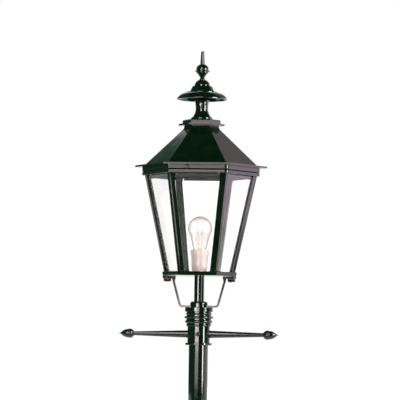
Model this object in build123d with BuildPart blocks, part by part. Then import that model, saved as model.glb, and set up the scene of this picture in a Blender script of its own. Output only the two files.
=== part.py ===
from build123d import *

# Hexagonal post top lantern on the upper end of its post. Millimetres, +Z up.
# The origin lies on the axis at the lower end of the post. The hexagon has two of its
# corners on the X axis, its front pane faces -Y, and the ladder bar runs along X.

import os
from math import atan, cos, degrees, radians, sin, tan

os.makedirs("parts", exist_ok=True)

# ---------------------------------------------------------------- driving dimensions

# Fits
seat_gap = 0.1  # radial play of a part that is fixed in its seat
running_gap = 0.05  # radial play of a part that turns or slides
face_gap = 0.3  # play between a moving part and what it faces

# Post: tube with a turned-down end that the collar slides over
post_radius = 24.0
post_wall = 4.0
post_length = 160.0
post_shoulder = 2.0

# Collar: turned members that stand proud of a plain sleeve, from the foot up
sleeve_wall = 5.85
sleeve_length = 40.7
member_gap = 2.4
flange_proud = 5.3
flange_height = 5.8
flange_edge = 1.2
small_bead_proud = 3.5
small_bead_height = 5.0
lower_bead_proud = 6.4
lower_bead_height = 9.4
upper_bead_proud = 8.4
upper_bead_height = 7.0
band_proud = 4.6
band_height = 5.5
drum_proud = 7.1
drum_height = 11.0
drum_edge = 1.0
core_proud = 3.0  # body between the members above the small bead
half_round = 0.48  # edge radius of a half-round bead over its height
collar_web = 14.0  # solid head that carries the stem
spigot_end_gap = 2.0
ladder_rise = 21.7  # from the flange to the middle of the ladder bar
collar_screw_radius = 3.0
collar_screw_head_radius = 5.6
collar_screw_head_height = 3.4
collar_screw_edge = 2.0
socket_radius = 2.2
socket_depth = 2.2

# Ladder bar: two tapered arms with acorn ends
arm_reach = 161.5  # from the axis to the acorn
arm_root_radius = 9.4
arm_shoulder = 2.0
arm_tip_radius = 5.0
arm_pin_radius = 2.5
arm_pin_length = 9.0
acorn_neck_lap = 0.9
acorn_cup_radius = 11.4
acorn_cup_length = 14.0
acorn_cup_sag = 2.8
acorn_nut_radius = 10.6
acorn_nut_length = 20.0
acorn_nut_sag = 2.75
acorn_point_length = 4.0
acorn_point_radius = 1.6
acorn_tip_radius = 0.6

# Stay strap: one bent flat bar between the collar and the tray
stay_height = 78.5  # from the top of the collar to the underside of the tray
strap_width = 20.0
strap_thickness = 5.0
strap_bend_radius = 8.0
strap_bend_margin = 12.0  # from the rim of the drum to the bend
strap_eye_wall = 9.5
stud_inset = 13.3  # from the corner of the tray
strap_head_inset = 13.7  # from the stud to the head of the strap
foot_web_run = 7.5
foot_web_height = 10.0
foot_edge_margin = 1.2
stud_radius = 4.0
stud_tail = 2.0
stud_head_radius = 7.0
stud_head_height = 2.8
stay_nut_flange_radius = 11.2
stay_nut_flange_height = 2.4
stay_nut_flats = 16.0
stay_nut_height = 9.0

# Stem and its nuts
stem_radius = 12.5
stem_wall = 3.0
stem_rise = 6.0  # above the floor of the tray
stem_foot_gap = 2.0
dome_nut_wall = 9.5
dome_nut_height = 10.0
dome_nut_edge = 5.5
locknut_wall = 4.5

# Base tray
tray_margin = 8.2  # from the foot of the corner bars
tray_spread = 1.6
tray_height = 10.0
tray_floor = 3.5
tray_wall = 2.0
tray_corner = 10.0
tray_edge = 2.0
lug_width = 12.0
lug_thickness = 3.0
lug_height = 6.0

# Glazed cage: six leaning corner bars and six panes
cage_height = 247.0  # from the tray's floor to the underside of the top ring
cage_foot_radius = 85.4
cage_head_radius = 138.2
bar_depth = 16.0
bar_nose_width = 5.0
bar_nose_height = 2.5
bar_nose_edge = 1.0
bar_wing_width = 12.0
bar_wing_thickness = 2.5
bar_web_thickness = 3.0
bar_block_length = 11.0
bar_block_width = 10.0
bar_block_height = 8.0
bar_screw_radius = 2.0
bar_screw_head_radius = 4.0
bar_screw_head_height = 2.0
bar_screw_length = 11.0
bar_screw_end_gap = 1.0
pane_thickness = 3.0
pane_edge_offset = 6.0  # pane edge to corner line, measured along the face
pane_head_gap = 0.5

# Top ring of the frame
ring_margin = 11.3  # from the head of the corner bars
ring_height = 9.0
ring_shelf = 4.0
shelf_reach = 20.0  # inward from the head of the corner bars
ring_corner = 12.0
ring_edge = 2.4
lip_inset = 13.0
lip_thickness = 3.0
lip_height = 9.0
clip_width = 12.0
clip_thickness = 1.0
clip_drop = 9.0
clip_leg = 10.0
pan_crown = 0.7  # flat top of a pan head over its radius
pan_side = 0.4  # straight side of a pan head over its height
small_screw_radius = 1.5
small_screw_head_radius = 2.7
small_screw_head_height = 1.6
small_screw_length = 7.0
clip_screw_length = 3.0

# Roof casting
skirt_height = 11.5
skirt_wall = 4.0
skirt_edge = 3.0
eave_overhang = 16.5
eave_corner = 1.6
eave_edge_thickness = 4.4
eave_fall = 1.0
slope_inset = 23.8  # from the eave's edge to the foot of the slope
hip_pitch = 43.5  # degrees from level, along a corner of the roof
hip_corner = 3.0
roof_wall = 3.0
roof_neck_radius = 44.0
roof_cove_radius = 14.0
roof_neck_land = 0.4
roof_web = 4.0
vent_radius = 13.0
roof_screw_offset = 24.5
roof_screw_radius = 2.5
roof_screw_head_radius = 5.6
roof_screw_head_height = 3.6
roof_screw_edge = 2.5
roof_screw_slot = 1.2

# Hinge at the back of the roof
leaf_width = 44.0
leaf_thickness = 1.5
leaf_margin = 0.5
knuckle_span = 28.0
knuckle_radius = 4.0
knuckle_middle = 10.0
hinge_standoff = 6.0
hinge_pin_radius = 2.0
hinge_pin_head_radius = 3.0
hinge_screw_spacing = 36.0

# Hexagonal cap on the roof
cap_flange_lap = 13.8  # beyond the neck of the roof
cap_flange_thickness = 4.6
cap_flange_rise = 1.6
plinth_lap = 4.0  # beyond the neck of the roof
plinth_height = 6.0
plinth_chamfer = 2.4
cap_corner = 1.5

# Chimney neck
neck_foot_radius = 27.0
neck_foot_height = 7.0
neck_foot_edge = 2.6
neck_waist_radius = 15.5
neck_waist_level = 30.0
neck_lower_sag = 2.45
neck_height = 49.2
neck_head_radius = 18.2
neck_upper_sag = 0.5
neck_wall = 3.5
hub_wall = 3.9
hub_height = 8.0
spoke_width = 3.0

# Canopy over the chimney
canopy_gap = 2.1  # from the top of the neck to the rim
canopy_radius = 63.2
canopy_edge = 2.2
canopy_bell_rise = 16.6
canopy_bell_sag = 4.2
canopy_wall = 3.0
canopy_ring_radius = 40.0
canopy_ring_height = 2.2
canopy_step_radius = 31.5
canopy_step_taper = 6.8
canopy_step_height = 14.5
canopy_dome_inset = 4.9
canopy_dome_foot = 1.0
canopy_dome_height = 15.5
canopy_dome_sag = 1.9
canopy_top_radius = 11.2

# Finial
rod_radius = 3.0
rod_in_spike = 13.0
rod_tail = 3.0
rod_nut_wall = 2.0
rod_nut_height = 5.0
finial_foot_radius = 8.0
finial_foot_height = 2.5
finial_neck_wall = 2.1
finial_neck_level = 5.0
finial_cup_radius = 15.0
finial_cup_height = 21.5
finial_cup_lip = 2.5
finial_cup_sag = 1.2
finial_ring_radius = 19.0
finial_ring_height = 2.8
finial_ball_radius = 15.0
finial_ball_height = 16.0
finial_ball_sag = 4.0
spike_wall = 2.6
spike_tip_radius = 4.0
spike_tip_edge = 3.2
spike_length = 33.0
bridge_end_gap = 11.0
bridge_width = 14.0
bridge_thickness = 4.0

# Lampholder
seat_disc_radius = 20.0
seat_disc_thickness = 2.0
seat_spigot_length = 10.0
seat_bore = 5.0
holder_foot_taper = 2.8
holder_foot_sag = 0.65
holder_middle_level = 18.0
holder_head_taper = 0.6
holder_height = 40.0
holder_ring_lap = 2.0
holder_ring_wall = 4.8
holder_ring_height = 14.5
holder_ring_edge = 1.4
holder_web_level = 10.0
holder_web = 4.0
holder_well_wall = 5.0
shell_wall = 0.6
shell_length = 23.0
shell_level = 19.0
contact_radius = 4.0
contact_leaf = 1.0
contact_post_radius = 2.0
contact_height = 3.4
terminal_offset = 7.5
terminal_width = 6.0
terminal_depth = 8.0
terminal_height = 6.0
terminal_screw_radius = 1.5
terminal_screw_head_radius = 2.2
terminal_screw_head_height = 1.5

# Lamp
lamp_thread_radius = 13.1
lamp_thread_depth = 0.9
lamp_thread_pitch = 3.6
lamp_thread_turns = 4
lamp_shell_play = 0.3
lamp_cap_wall = 0.5
lamp_cap_height = 22.0
lamp_tip_radius = 4.6
lamp_tip_height = 1.3
lamp_tip_edge = 1.0
lamp_insulator_height = 4.0
lamp_insulator_inset = 1.6
lamp_radius = 30.5
lamp_neck_swell = 4.1  # beyond the thread
lamp_mouth_gap = 1.4  # between the lamp's neck and the holder's ring
lamp_neck_level = 12.0
lamp_shoulder_height = 35.75
lamp_shoulder_angle = 30.0
lamp_glass_wall = 0.8
lamp_root_depth = 5.0
lamp_stem_radius = 4.5
lamp_stem_height = 18.0
lamp_pinch_width = 9.0
lamp_pinch_depth = 3.2
lamp_pinch_height = 9.0
lamp_arbor_radius = 1.1
lamp_arbor_height = 13.0
lamp_button_radius = 1.9
filament_level = 43.0
filament_rise = 14.5
filament_half_span = 12.0
filament_top_half_span = 4.0
filament_radius = 0.5
filament_bend = 1.5
lead_radius = 0.4
lead_foot_offset = 2.5

# ---------------------------------------------------------------- derived values

half_corner = cos(radians(30))  # apothem of a hexagon over its corner radius

post_bore = post_radius - post_wall
spigot_radius = post_radius - post_shoulder
collar_bore = spigot_radius + running_gap
sleeve_radius = collar_bore + sleeve_wall
drum_radius = sleeve_radius + drum_proud
collar_foot = post_length
collar_members = (  # how far it stands proud, height, edge rounding, gap below
    (flange_proud, flange_height, flange_edge, 0.0),
    (small_bead_proud, small_bead_height, half_round * small_bead_height, sleeve_length),
    (lower_bead_proud, lower_bead_height, half_round * lower_bead_height, member_gap),
    (upper_bead_proud, upper_bead_height, half_round * upper_bead_height, member_gap),
    (band_proud, band_height, half_round * band_height, member_gap),
    (drum_proud, drum_height, drum_edge, member_gap),
)
collar_top = collar_foot + sum(height + gap for _, height, _, gap in collar_members)
collar_bore_top = collar_top - collar_web
core_bottom = collar_foot + flange_height + sleeve_length + small_bead_height
core_radius = sleeve_radius + core_proud
spigot_top = collar_bore_top - spigot_end_gap
ladder_z = collar_foot + flange_height + ladder_rise
arm_spigot_radius = arm_root_radius - arm_shoulder
acorn_neck_radius = arm_tip_radius + acorn_neck_lap

tray_foot_radius = cage_foot_radius + tray_margin
tray_rim_radius = tray_foot_radius + tray_spread
tray_bottom = collar_top + stay_height
floor_top = tray_bottom + tray_floor
tray_top = tray_bottom + tray_height
strap_middle = collar_top + strap_thickness / 2
strap_top = collar_top + strap_thickness
foot_middle = tray_bottom - strap_thickness / 2
foot_underside = tray_bottom - strap_thickness
foot_reach = tray_foot_radius - foot_edge_margin
stud_offset = tray_foot_radius - stud_inset
strap_head_offset = stud_offset - strap_head_inset
strap_bend_offset = drum_radius + strap_bend_margin
foot_inner_offset = strap_head_offset - foot_web_run
stay_nut_bottom = foot_underside - stay_nut_height
stem_bore = stem_radius - stem_wall
stem_bottom = collar_bore_top + stem_foot_gap
stem_top = floor_top + stem_rise

ring_radius = cage_head_radius + ring_margin
ring_face = ring_radius * half_corner
lip_radius = ring_radius - lip_inset
lip_face = lip_radius * half_corner
ring_bottom = floor_top + cage_height
ring_top = ring_bottom + ring_height
shelf_top = ring_bottom + ring_shelf
lip_top = ring_top + lip_height
roof_foot = ring_top + face_gap
eave_bottom = roof_foot + skirt_height
eave_edge_top = eave_bottom + eave_edge_thickness
eave_top = eave_edge_top + eave_fall
eave_radius = ring_radius + eave_overhang
slope_foot_radius = eave_radius - slope_inset

lean = (cage_head_radius - cage_foot_radius) / cage_height
bar_angle = degrees(atan(lean))
face_angle = degrees(atan(lean * half_corner))
face_sin = sin(radians(face_angle))
face_cos = cos(radians(face_angle))
wing_angle = degrees(atan(tan(radians(60)) / cos(radians(bar_angle))))
pane_front = bar_wing_thickness
pane_back = pane_front + pane_thickness
corner_names = ("right", "rear_right", "rear_left", "left", "front_left", "front_right")
pane_names = ("front", "front_right", "rear_right", "rear", "rear_left", "front_left")

shell_bore = lamp_thread_radius + lamp_shell_play
shell_radius = shell_bore + shell_wall
lamp_neck_radius = lamp_thread_radius + lamp_neck_swell
holder_mouth_radius = lamp_neck_radius + lamp_mouth_gap
holder_ring_radius = holder_mouth_radius + holder_ring_wall
holder_head_radius = holder_ring_radius - holder_ring_lap
holder_middle_radius = holder_head_radius - holder_head_taper
holder_foot_radius = holder_middle_radius - holder_foot_taper
holder_foot = stem_top + seat_disc_thickness
holder_top = holder_foot + holder_height
web_bottom = holder_foot + holder_web_level
web_top = web_bottom + holder_web
shell_bottom = holder_foot + shell_level
contact_top = web_top + contact_height
lamp_tip_bottom = contact_top + face_gap
lamp_insulator_bottom = lamp_tip_bottom + lamp_tip_height
lamp_cap_bottom = lamp_insulator_bottom + lamp_insulator_height
lamp_cap_top = lamp_cap_bottom + lamp_cap_height
lamp_groove_radius = lamp_thread_radius - lamp_thread_depth
lamp_cap_bore = lamp_groove_radius - lamp_cap_wall
lamp_root_radius = lamp_cap_bore - seat_gap


def hexagon(radius, corner, level):
    """Hexagon with rounded corners, two of them on the X axis, at a level."""
    with BuildSketch(Plane.XY.offset(level)) as outline:
        RegularPolygon(radius, 6)
        fillet(outline.vertices(), corner)
    return outline.sketch


def turned(points):
    """Solid turned about the Z axis from the radius and level of each point."""
    with BuildPart() as body:
        with BuildSketch(Plane.XZ):
            with BuildLine():
                Polyline(*points, close=True)
            make_face()
        revolve(axis=Axis.Z)
    return body.part


def countersunk_screw(radius, length, head_radius, head_height):
    """Screw with its head's flat face at the origin and its shank along -Z."""
    return turned(
        (
            (0, 0),
            (head_radius, 0),
            (radius, -head_height),
            (radius, -length),
            (0, -length),
        )
    )


def pan_screw(radius, length, head_radius, head_height):
    """Screw with its head above the origin and its shank along -Z."""
    return turned(
        (
            (0, head_height),
            (pan_crown * head_radius, head_height),
            (head_radius, pan_side * head_height),
            (head_radius, 0),
            (radius, 0),
            (radius, -length),
            (0, -length),
        )
    )


def straight_wire(start, end, radius):
    """Round wire between two points."""
    course = Vector(*end) - Vector(*start)
    with BuildPart() as wire:
        with BuildSketch(Plane(origin=start, z_dir=course)):
            Circle(radius)
        extrude(amount=course.length)
    return wire.part


def write(body, name):
    """Label a finished piece and write it to its own file."""
    body.part.label = name
    export_step(body.part, f"parts/{name}.step")


# ---------------------------------------------------------------- post and collar

with BuildPart() as post_tube:
    with BuildSketch(Plane.XY):
        Circle(post_radius)
    extrude(amount=post_length)
    with BuildSketch(Plane.XY.offset(post_length)):
        Circle(spigot_radius)
    extrude(amount=spigot_top - post_length)
    with BuildSketch(Plane.XY):
        Circle(post_bore)
    extrude(amount=spigot_top, mode=Mode.SUBTRACT)
write(post_tube, "post_tube")

with BuildPart() as collar:
    with BuildSketch(Plane.XZ):
        with Locations((sleeve_radius / 2, (collar_foot + collar_top) / 2)):
            Rectangle(sleeve_radius, collar_top - collar_foot)
        with Locations((core_radius / 2, (core_bottom + collar_top) / 2)):
            Rectangle(core_radius, collar_top - core_bottom)
        level = collar_foot
        for proud, height, edge, gap in collar_members:
            level += gap
            with Locations((sleeve_radius / 2 + proud, level + height / 2)):
                RectangleRounded(sleeve_radius, height, edge)
            level += height
    revolve(axis=Axis.Z)
    with BuildSketch(Plane.XY.offset(collar_foot)):
        Circle(collar_bore)
    extrude(amount=collar_bore_top - collar_foot, mode=Mode.SUBTRACT)
    with BuildSketch(Plane.XY.offset(collar_bore_top)):
        Circle(stem_radius + seat_gap)
    extrude(amount=collar_top - collar_bore_top, mode=Mode.SUBTRACT)
    with BuildSketch(Plane.XZ):
        with Locations((0, ladder_z)):
            Circle(collar_screw_radius + seat_gap)
    extrude(amount=drum_radius, both=True, mode=Mode.SUBTRACT)
    with BuildSketch(Plane.YZ):
        with Locations((0, ladder_z)):
            Circle(arm_spigot_radius + seat_gap)
    extrude(amount=drum_radius, both=True, mode=Mode.SUBTRACT)
write(collar, "collar")

with BuildPart() as collar_screw:
    with BuildSketch(Plane.XZ):
        Circle(collar_screw_radius)
    extrude(amount=sleeve_radius)
    with BuildSketch(Plane.XZ.offset(sleeve_radius)):
        Circle(collar_screw_head_radius)
    extrude(amount=collar_screw_head_height)
    fillet(collar_screw.faces().sort_by(Axis.Y)[0].edges(), collar_screw_edge)
    with BuildSketch(Plane.XZ.offset(sleeve_radius + collar_screw_head_height)):
        RegularPolygon(socket_radius, 6)
    extrude(amount=-socket_depth, mode=Mode.SUBTRACT)
    with BuildSketch(Plane.XZ):
        Circle(collar_screw_radius * 2)
    extrude(amount=spigot_radius + face_gap, mode=Mode.SUBTRACT)

with BuildPart() as collar_screws:
    for turn in (0, 180):
        add(Location((0, 0, ladder_z), (0, 0, turn)) * collar_screw.part)
write(collar_screws, "collar_screws")

# ---------------------------------------------------------------- ladder bar

arm_pin_end = arm_reach + arm_pin_length
cup_end = arm_reach + acorn_cup_length
nut_end = cup_end + acorn_nut_length
acorn_end = nut_end + acorn_point_length

for side, turn in (("right", 0), ("left", 180)):
    with BuildPart() as sleeve_volume:
        with BuildSketch(Plane.XY.offset(-2 * arm_root_radius)):
            Circle(sleeve_radius + seat_gap)
        extrude(amount=4 * arm_root_radius)
    with BuildPart() as arm:
        with BuildSketch(Plane.XZ):
            with BuildLine():
                Polyline(
                    (0, 0),
                    (0, arm_root_radius),
                    (sleeve_radius, arm_root_radius),
                    (arm_reach, arm_tip_radius),
                    (arm_reach, arm_pin_radius),
                    (arm_pin_end, arm_pin_radius),
                    (arm_pin_end, 0),
                    close=True,
                )
            make_face()
        revolve(axis=Axis.X)
        add(sleeve_volume.part, mode=Mode.SUBTRACT)
        with BuildSketch(Plane.YZ.offset(spigot_radius + face_gap)):
            Circle(arm_spigot_radius)
        extrude(amount=2 * (sleeve_radius - spigot_radius))
    with BuildPart() as ladder_arm:
        add(Location((0, 0, ladder_z), (0, 0, turn)) * arm.part)
    write(ladder_arm, f"ladder_arm_{side}")

    with BuildPart() as nut:
        with BuildSketch(Plane.XZ):
            with BuildLine():
                Line((arm_reach, arm_pin_radius + seat_gap), (arm_reach, acorn_neck_radius))
                SagittaArc((arm_reach, acorn_neck_radius), (cup_end, acorn_cup_radius), acorn_cup_sag)
                Line((cup_end, acorn_cup_radius), (cup_end, acorn_nut_radius))
                SagittaArc((cup_end, acorn_nut_radius), (nut_end, acorn_point_radius), acorn_nut_sag)
                Polyline(
                    (nut_end, acorn_point_radius),
                    (acorn_end, acorn_tip_radius),
                    (acorn_end, 0),
                    (arm_pin_end + seat_gap, 0),
                    (arm_pin_end + seat_gap, arm_pin_radius + seat_gap),
                    (arm_reach, arm_pin_radius + seat_gap),
                )
            make_face()
        revolve(axis=Axis.X)
    with BuildPart() as acorn:
        add(Location((0, 0, ladder_z), (0, 0, turn)) * nut.part)
    write(acorn, f"acorn_{side}")

# ---------------------------------------------------------------- stay strap and stem

with BuildPart() as stay_strap:
    with BuildLine(Plane.XZ) as strap_course:
        FilletPolyline(
            (-strap_head_offset, foot_middle),
            (-strap_bend_offset, strap_middle),
            (strap_bend_offset, strap_middle),
            (strap_head_offset, foot_middle),
            radius=strap_bend_radius,
        )
    with BuildSketch(Plane(origin=strap_course.line @ 0, x_dir=(0, 1, 0), z_dir=strap_course.line % 0)):
        Rectangle(strap_width, strap_thickness)
    sweep(path=strap_course.line)
    with BuildSketch(Plane.XY.offset(collar_top)):
        Circle(stem_radius + seat_gap + strap_eye_wall)
    extrude(amount=strap_thickness)
    with BuildSketch(Plane.XY.offset(foot_underside)):
        for side in (-1, 1):
            with Locations((side * (foot_inner_offset + foot_reach) / 2, 0)):
                Rectangle(foot_reach - foot_inner_offset, strap_width)
        RegularPolygon(foot_reach, 6, mode=Mode.INTERSECT)
    extrude(amount=strap_thickness)
    with BuildSketch(Plane.XZ):
        for side in (-1, 1):
            Polygon(
                (side * foot_inner_offset, foot_underside),
                (side * strap_head_offset, foot_underside),
                (side * (strap_head_offset - strap_thickness), foot_underside - foot_web_height),
                align=None,
            )
    extrude(amount=strap_width / 2, both=True)
    with BuildSketch(Plane.XY.offset(tray_bottom)):
        with Locations((-strap_head_offset, 0), (strap_head_offset, 0)):
            Rectangle(4 * strap_thickness, 2 * strap_width)
    extrude(amount=strap_thickness, mode=Mode.SUBTRACT)
    with BuildSketch(Plane.XY.offset(collar_top)):
        Circle(stem_radius + seat_gap)
    extrude(amount=strap_thickness, mode=Mode.SUBTRACT)
    with BuildSketch(Plane.XY.offset(foot_underside)):
        with Locations((-stud_offset, 0), (stud_offset, 0)):
            Circle(stud_radius + seat_gap)
    extrude(amount=strap_thickness, mode=Mode.SUBTRACT)
write(stay_strap, "stay_strap")

with BuildPart() as stay_studs:
    for side in (-1, 1):
        add(
            Pos(side * stud_offset, 0, floor_top)
            * countersunk_screw(
                stud_radius, floor_top - stay_nut_bottom + stud_tail, stud_head_radius, stud_head_height
            )
        )
write(stay_studs, "stay_studs")

with BuildPart() as stay_nuts:
    with BuildSketch(Plane.XY.offset(foot_underside)):
        with Locations((-stud_offset, 0), (stud_offset, 0)):
            Circle(stay_nut_flange_radius)
            Circle(stud_radius + seat_gap, mode=Mode.SUBTRACT)
    extrude(amount=-stay_nut_flange_height)
    with BuildSketch(Plane.XY.offset(foot_underside - stay_nut_flange_height)):
        with Locations((-stud_offset, 0), (stud_offset, 0)):
            RegularPolygon(stay_nut_flats / 2, 6, major_radius=False)
            Circle(stud_radius + seat_gap, mode=Mode.SUBTRACT)
    extrude(amount=stay_nut_flange_height - stay_nut_height)
write(stay_nuts, "stay_nuts")

with BuildPart() as dome_nut:
    with BuildSketch(Plane.XY.offset(strap_top)):
        Circle(stem_radius + seat_gap + dome_nut_wall)
    extrude(amount=dome_nut_height)
    fillet(dome_nut.edges().sort_by(Axis.Z)[-1], dome_nut_edge)
    with BuildSketch(Plane.XY.offset(strap_top)):
        Circle(stem_radius + seat_gap)
    extrude(amount=dome_nut_height, mode=Mode.SUBTRACT)
write(dome_nut, "dome_nut")

with BuildPart() as stem_tube:
    with BuildSketch(Plane.XY.offset(stem_bottom)):
        Circle(stem_radius)
        Circle(stem_bore, mode=Mode.SUBTRACT)
    extrude(amount=stem_top - stem_bottom)
write(stem_tube, "stem_tube")

with BuildPart() as stem_locknut:
    with BuildSketch(Plane.XY.offset(floor_top)):
        RegularPolygon(stem_radius + locknut_wall, 6, major_radius=False)
        Circle(stem_radius + seat_gap, mode=Mode.SUBTRACT)
    extrude(amount=stem_rise)
write(stem_locknut, "stem_locknut")

# ---------------------------------------------------------------- base tray

block_clearance = (pane_back / face_cos + face_gap + bar_block_width / 2 * sin(radians(30))) / half_corner
foot_block_end = cage_foot_radius - block_clearance
head_block_end = cage_head_radius - lean * bar_block_height - block_clearance
foot_screw_offset = foot_block_end - bar_block_length / 2
head_screw_offset = head_block_end - bar_block_length / 2
tray_inner_corner = tray_corner - tray_wall
wall_offset = tray_wall / half_corner
floor_radius = tray_foot_radius + tray_spread * tray_floor / tray_height
lug_offset = cage_foot_radius * half_corner - pane_back / face_cos - face_gap

with BuildPart() as base_tray:
    loft(
        sections=[
            hexagon(tray_foot_radius, tray_corner, tray_bottom),
            hexagon(tray_rim_radius, tray_corner, tray_top),
        ],
        ruled=True,
    )
    fillet(base_tray.faces().sort_by(Axis.Z)[0].edges(), tray_edge)
    loft(
        sections=[
            hexagon(floor_radius - wall_offset, tray_inner_corner, floor_top),
            hexagon(tray_rim_radius - wall_offset, tray_inner_corner, tray_top),
        ],
        ruled=True,
        mode=Mode.SUBTRACT,
    )
    with BuildSketch(Plane.XY.offset(floor_top)):
        with PolarLocations(lug_offset - lug_thickness / 2, 6, start_angle=30):
            Rectangle(lug_thickness, lug_width)
    extrude(amount=lug_height)
    with BuildSketch(Plane.XY.offset(tray_bottom)):
        Circle(stem_radius + seat_gap)
        with Locations((-stud_offset, 0), (stud_offset, 0)):
            Circle(stud_radius + seat_gap)
        with PolarLocations(foot_screw_offset, 6):
            Circle(bar_screw_radius + seat_gap)
    extrude(amount=tray_floor, mode=Mode.SUBTRACT)
    for side in (-1, 1):
        add(
            Pos(side * stud_offset, 0, floor_top)
            * countersunk_screw(
                stud_radius + seat_gap, tray_floor, stud_head_radius + seat_gap, stud_head_height
            ),
            mode=Mode.SUBTRACT,
        )
    for place in PolarLocations(foot_screw_offset, 6):
        add(
            Pos(0, 0, tray_bottom)
            * place
            * Rot(180, 0, 0)
            * countersunk_screw(
                bar_screw_radius + seat_gap, tray_floor, bar_screw_head_radius + seat_gap, bar_screw_head_height
            ),
            mode=Mode.SUBTRACT,
        )
write(base_tray, "base_tray")

# ---------------------------------------------------------------- corner bars

bar_hole_depth = bar_screw_length + bar_screw_end_gap
run = cage_height / cos(radians(bar_angle))
wing_in = -cos(radians(wing_angle))
wing_out = sin(radians(wing_angle))
wing_tip = (bar_wing_width * wing_in, bar_wing_width * wing_out)
wing_back = (wing_tip[0] - bar_wing_thickness * wing_out, wing_tip[1] + bar_wing_thickness * wing_in)
root = -bar_wing_thickness / wing_out

for index, corner_name in enumerate(corner_names):
    turn = 60 * index
    outward = Vector(cos(radians(turn)), sin(radians(turn)), 0)
    foot_point = outward * cage_foot_radius + Vector(0, 0, floor_top)
    rise = Vector(0, 0, 1) + outward * lean
    bar_plane = Plane(origin=foot_point, x_dir=outward - Vector(0, 0, lean), z_dir=rise)
    with BuildPart() as corner_bar:
        with BuildSketch(bar_plane.offset(-bar_depth)) as bar_section:
            Polygon(
                (0, 0),
                wing_tip,
                wing_back,
                (root, 0),
                (wing_back[0], -wing_back[1]),
                (wing_tip[0], -wing_tip[1]),
                align=None,
            )
            with Locations(((bar_nose_height - bar_depth) / 2, 0)):
                Rectangle(bar_depth - bar_nose_height, bar_web_thickness)
            with Locations((0, 0)):
                RectangleRounded(2 * bar_nose_height, bar_nose_width, bar_nose_edge)
        extrude(amount=run + 2 * bar_depth)
        split(bisect_by=Plane.XY.offset(floor_top), keep=Keep.TOP)
        split(bisect_by=Plane.XY.offset(ring_bottom), keep=Keep.BOTTOM)
        for radius, level, height in (
            (foot_screw_offset, floor_top, bar_block_height),
            (head_screw_offset, ring_bottom, -bar_block_height),
        ):
            block_centre = outward * radius + Vector(0, 0, level)
            with BuildSketch(Plane(origin=block_centre, x_dir=outward, z_dir=(0, 0, 1))):
                Rectangle(bar_block_length, bar_block_width)
            extrude(amount=height)
            with BuildSketch(Plane(origin=block_centre, x_dir=outward, z_dir=(0, 0, 1))):
                Circle(bar_screw_radius + seat_gap)
            extrude(amount=bar_hole_depth if height > 0 else -bar_hole_depth, mode=Mode.SUBTRACT)
    write(corner_bar, f"corner_bar_{corner_name}")

# ---------------------------------------------------------------- panes

pane_bottom = (seat_gap - pane_front * face_sin) / face_cos
pane_top = (cage_height - pane_head_gap - pane_back * face_sin) / face_cos


def half_pane(rise_along_face):
    """Half the width of a pane at a distance up its face."""
    return (cage_foot_radius + lean * rise_along_face * face_cos) / 2 - pane_edge_offset


for index, pane_name in enumerate(pane_names):
    turn = 60 * index - 90
    outward = Vector(cos(radians(turn)), sin(radians(turn)), 0)
    along = Vector(-sin(radians(turn)), cos(radians(turn)), 0)
    face_point = outward * (cage_foot_radius * half_corner) + Vector(0, 0, floor_top)
    face_plane = Plane(
        origin=face_point, x_dir=along, z_dir=outward * face_cos - Vector(0, 0, face_sin)
    )
    with BuildPart() as glass_pane:
        with BuildSketch(face_plane.offset(-pane_front)):
            Polygon(
                (-half_pane(pane_bottom), pane_bottom),
                (half_pane(pane_bottom), pane_bottom),
                (half_pane(pane_top), pane_top),
                (-half_pane(pane_top), pane_top),
                align=None,
            )
        extrude(amount=-pane_thickness)
    write(glass_pane, f"glass_pane_{pane_name}")

# ---------------------------------------------------------------- top ring and its clips

clip_foot = (cage_head_radius * half_corner) - pane_back / face_cos - face_gap
clip_screw_offset = clip_foot - clip_leg / 2
hinge_y = ring_face + hinge_standoff
hinge_z = ring_top + face_gap / 2
hinge_screw_places = [(side * hinge_screw_spacing / 2) for side in (-1, 1)]
frame_screw_z = ring_bottom + ring_height / 2
hole_radius = small_screw_radius + seat_gap

with BuildPart() as top_ring:
    add(hexagon(ring_radius, ring_corner, ring_bottom))
    extrude(amount=ring_height)
    fillet(
        top_ring.faces().sort_by(Axis.Z)[0].edges() + top_ring.faces().sort_by(Axis.Z)[-1].edges(),
        ring_edge,
    )
    with BuildSketch(Plane.XY.offset(shelf_top)):
        RegularPolygon(lip_radius, 6)
    extrude(amount=lip_top - shelf_top)
    with BuildSketch(Plane.XY.offset(shelf_top)):
        RegularPolygon(lip_radius - lip_thickness / half_corner, 6)
    extrude(amount=lip_top - shelf_top, mode=Mode.SUBTRACT)
    with BuildSketch(Plane.XY.offset(ring_bottom)):
        RegularPolygon(cage_head_radius - shelf_reach, 6)
    extrude(amount=ring_shelf, mode=Mode.SUBTRACT)
    for place in PolarLocations(head_screw_offset, 6):
        add(
            Pos(0, 0, shelf_top)
            * place
            * countersunk_screw(
                bar_screw_radius + seat_gap,
                ring_shelf,
                bar_screw_head_radius + seat_gap,
                bar_screw_head_height,
            ),
            mode=Mode.SUBTRACT,
        )
    with BuildSketch(Plane.XY.offset(ring_bottom)):
        with PolarLocations(clip_screw_offset, 6, start_angle=30):
            Circle(hole_radius)
    extrude(amount=clip_screw_length, mode=Mode.SUBTRACT)
    with BuildSketch(Plane.XZ.offset(-ring_face)):
        with Locations(*[(x, frame_screw_z) for x in hinge_screw_places]):
            Circle(hole_radius)
    extrude(amount=small_screw_length, mode=Mode.SUBTRACT)
write(top_ring, "top_ring")

with BuildPart() as bar_screws:
    for place in PolarLocations(foot_screw_offset, 6):
        add(
            Pos(0, 0, tray_bottom)
            * place
            * Rot(180, 0, 0)
            * countersunk_screw(
                bar_screw_radius, bar_screw_length, bar_screw_head_radius, bar_screw_head_height
            )
        )
    for place in PolarLocations(head_screw_offset, 6):
        add(
            Pos(0, 0, shelf_top)
            * place
            * countersunk_screw(
                bar_screw_radius, bar_screw_length, bar_screw_head_radius, bar_screw_head_height
            )
        )
write(bar_screws, "bar_screws")

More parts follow.
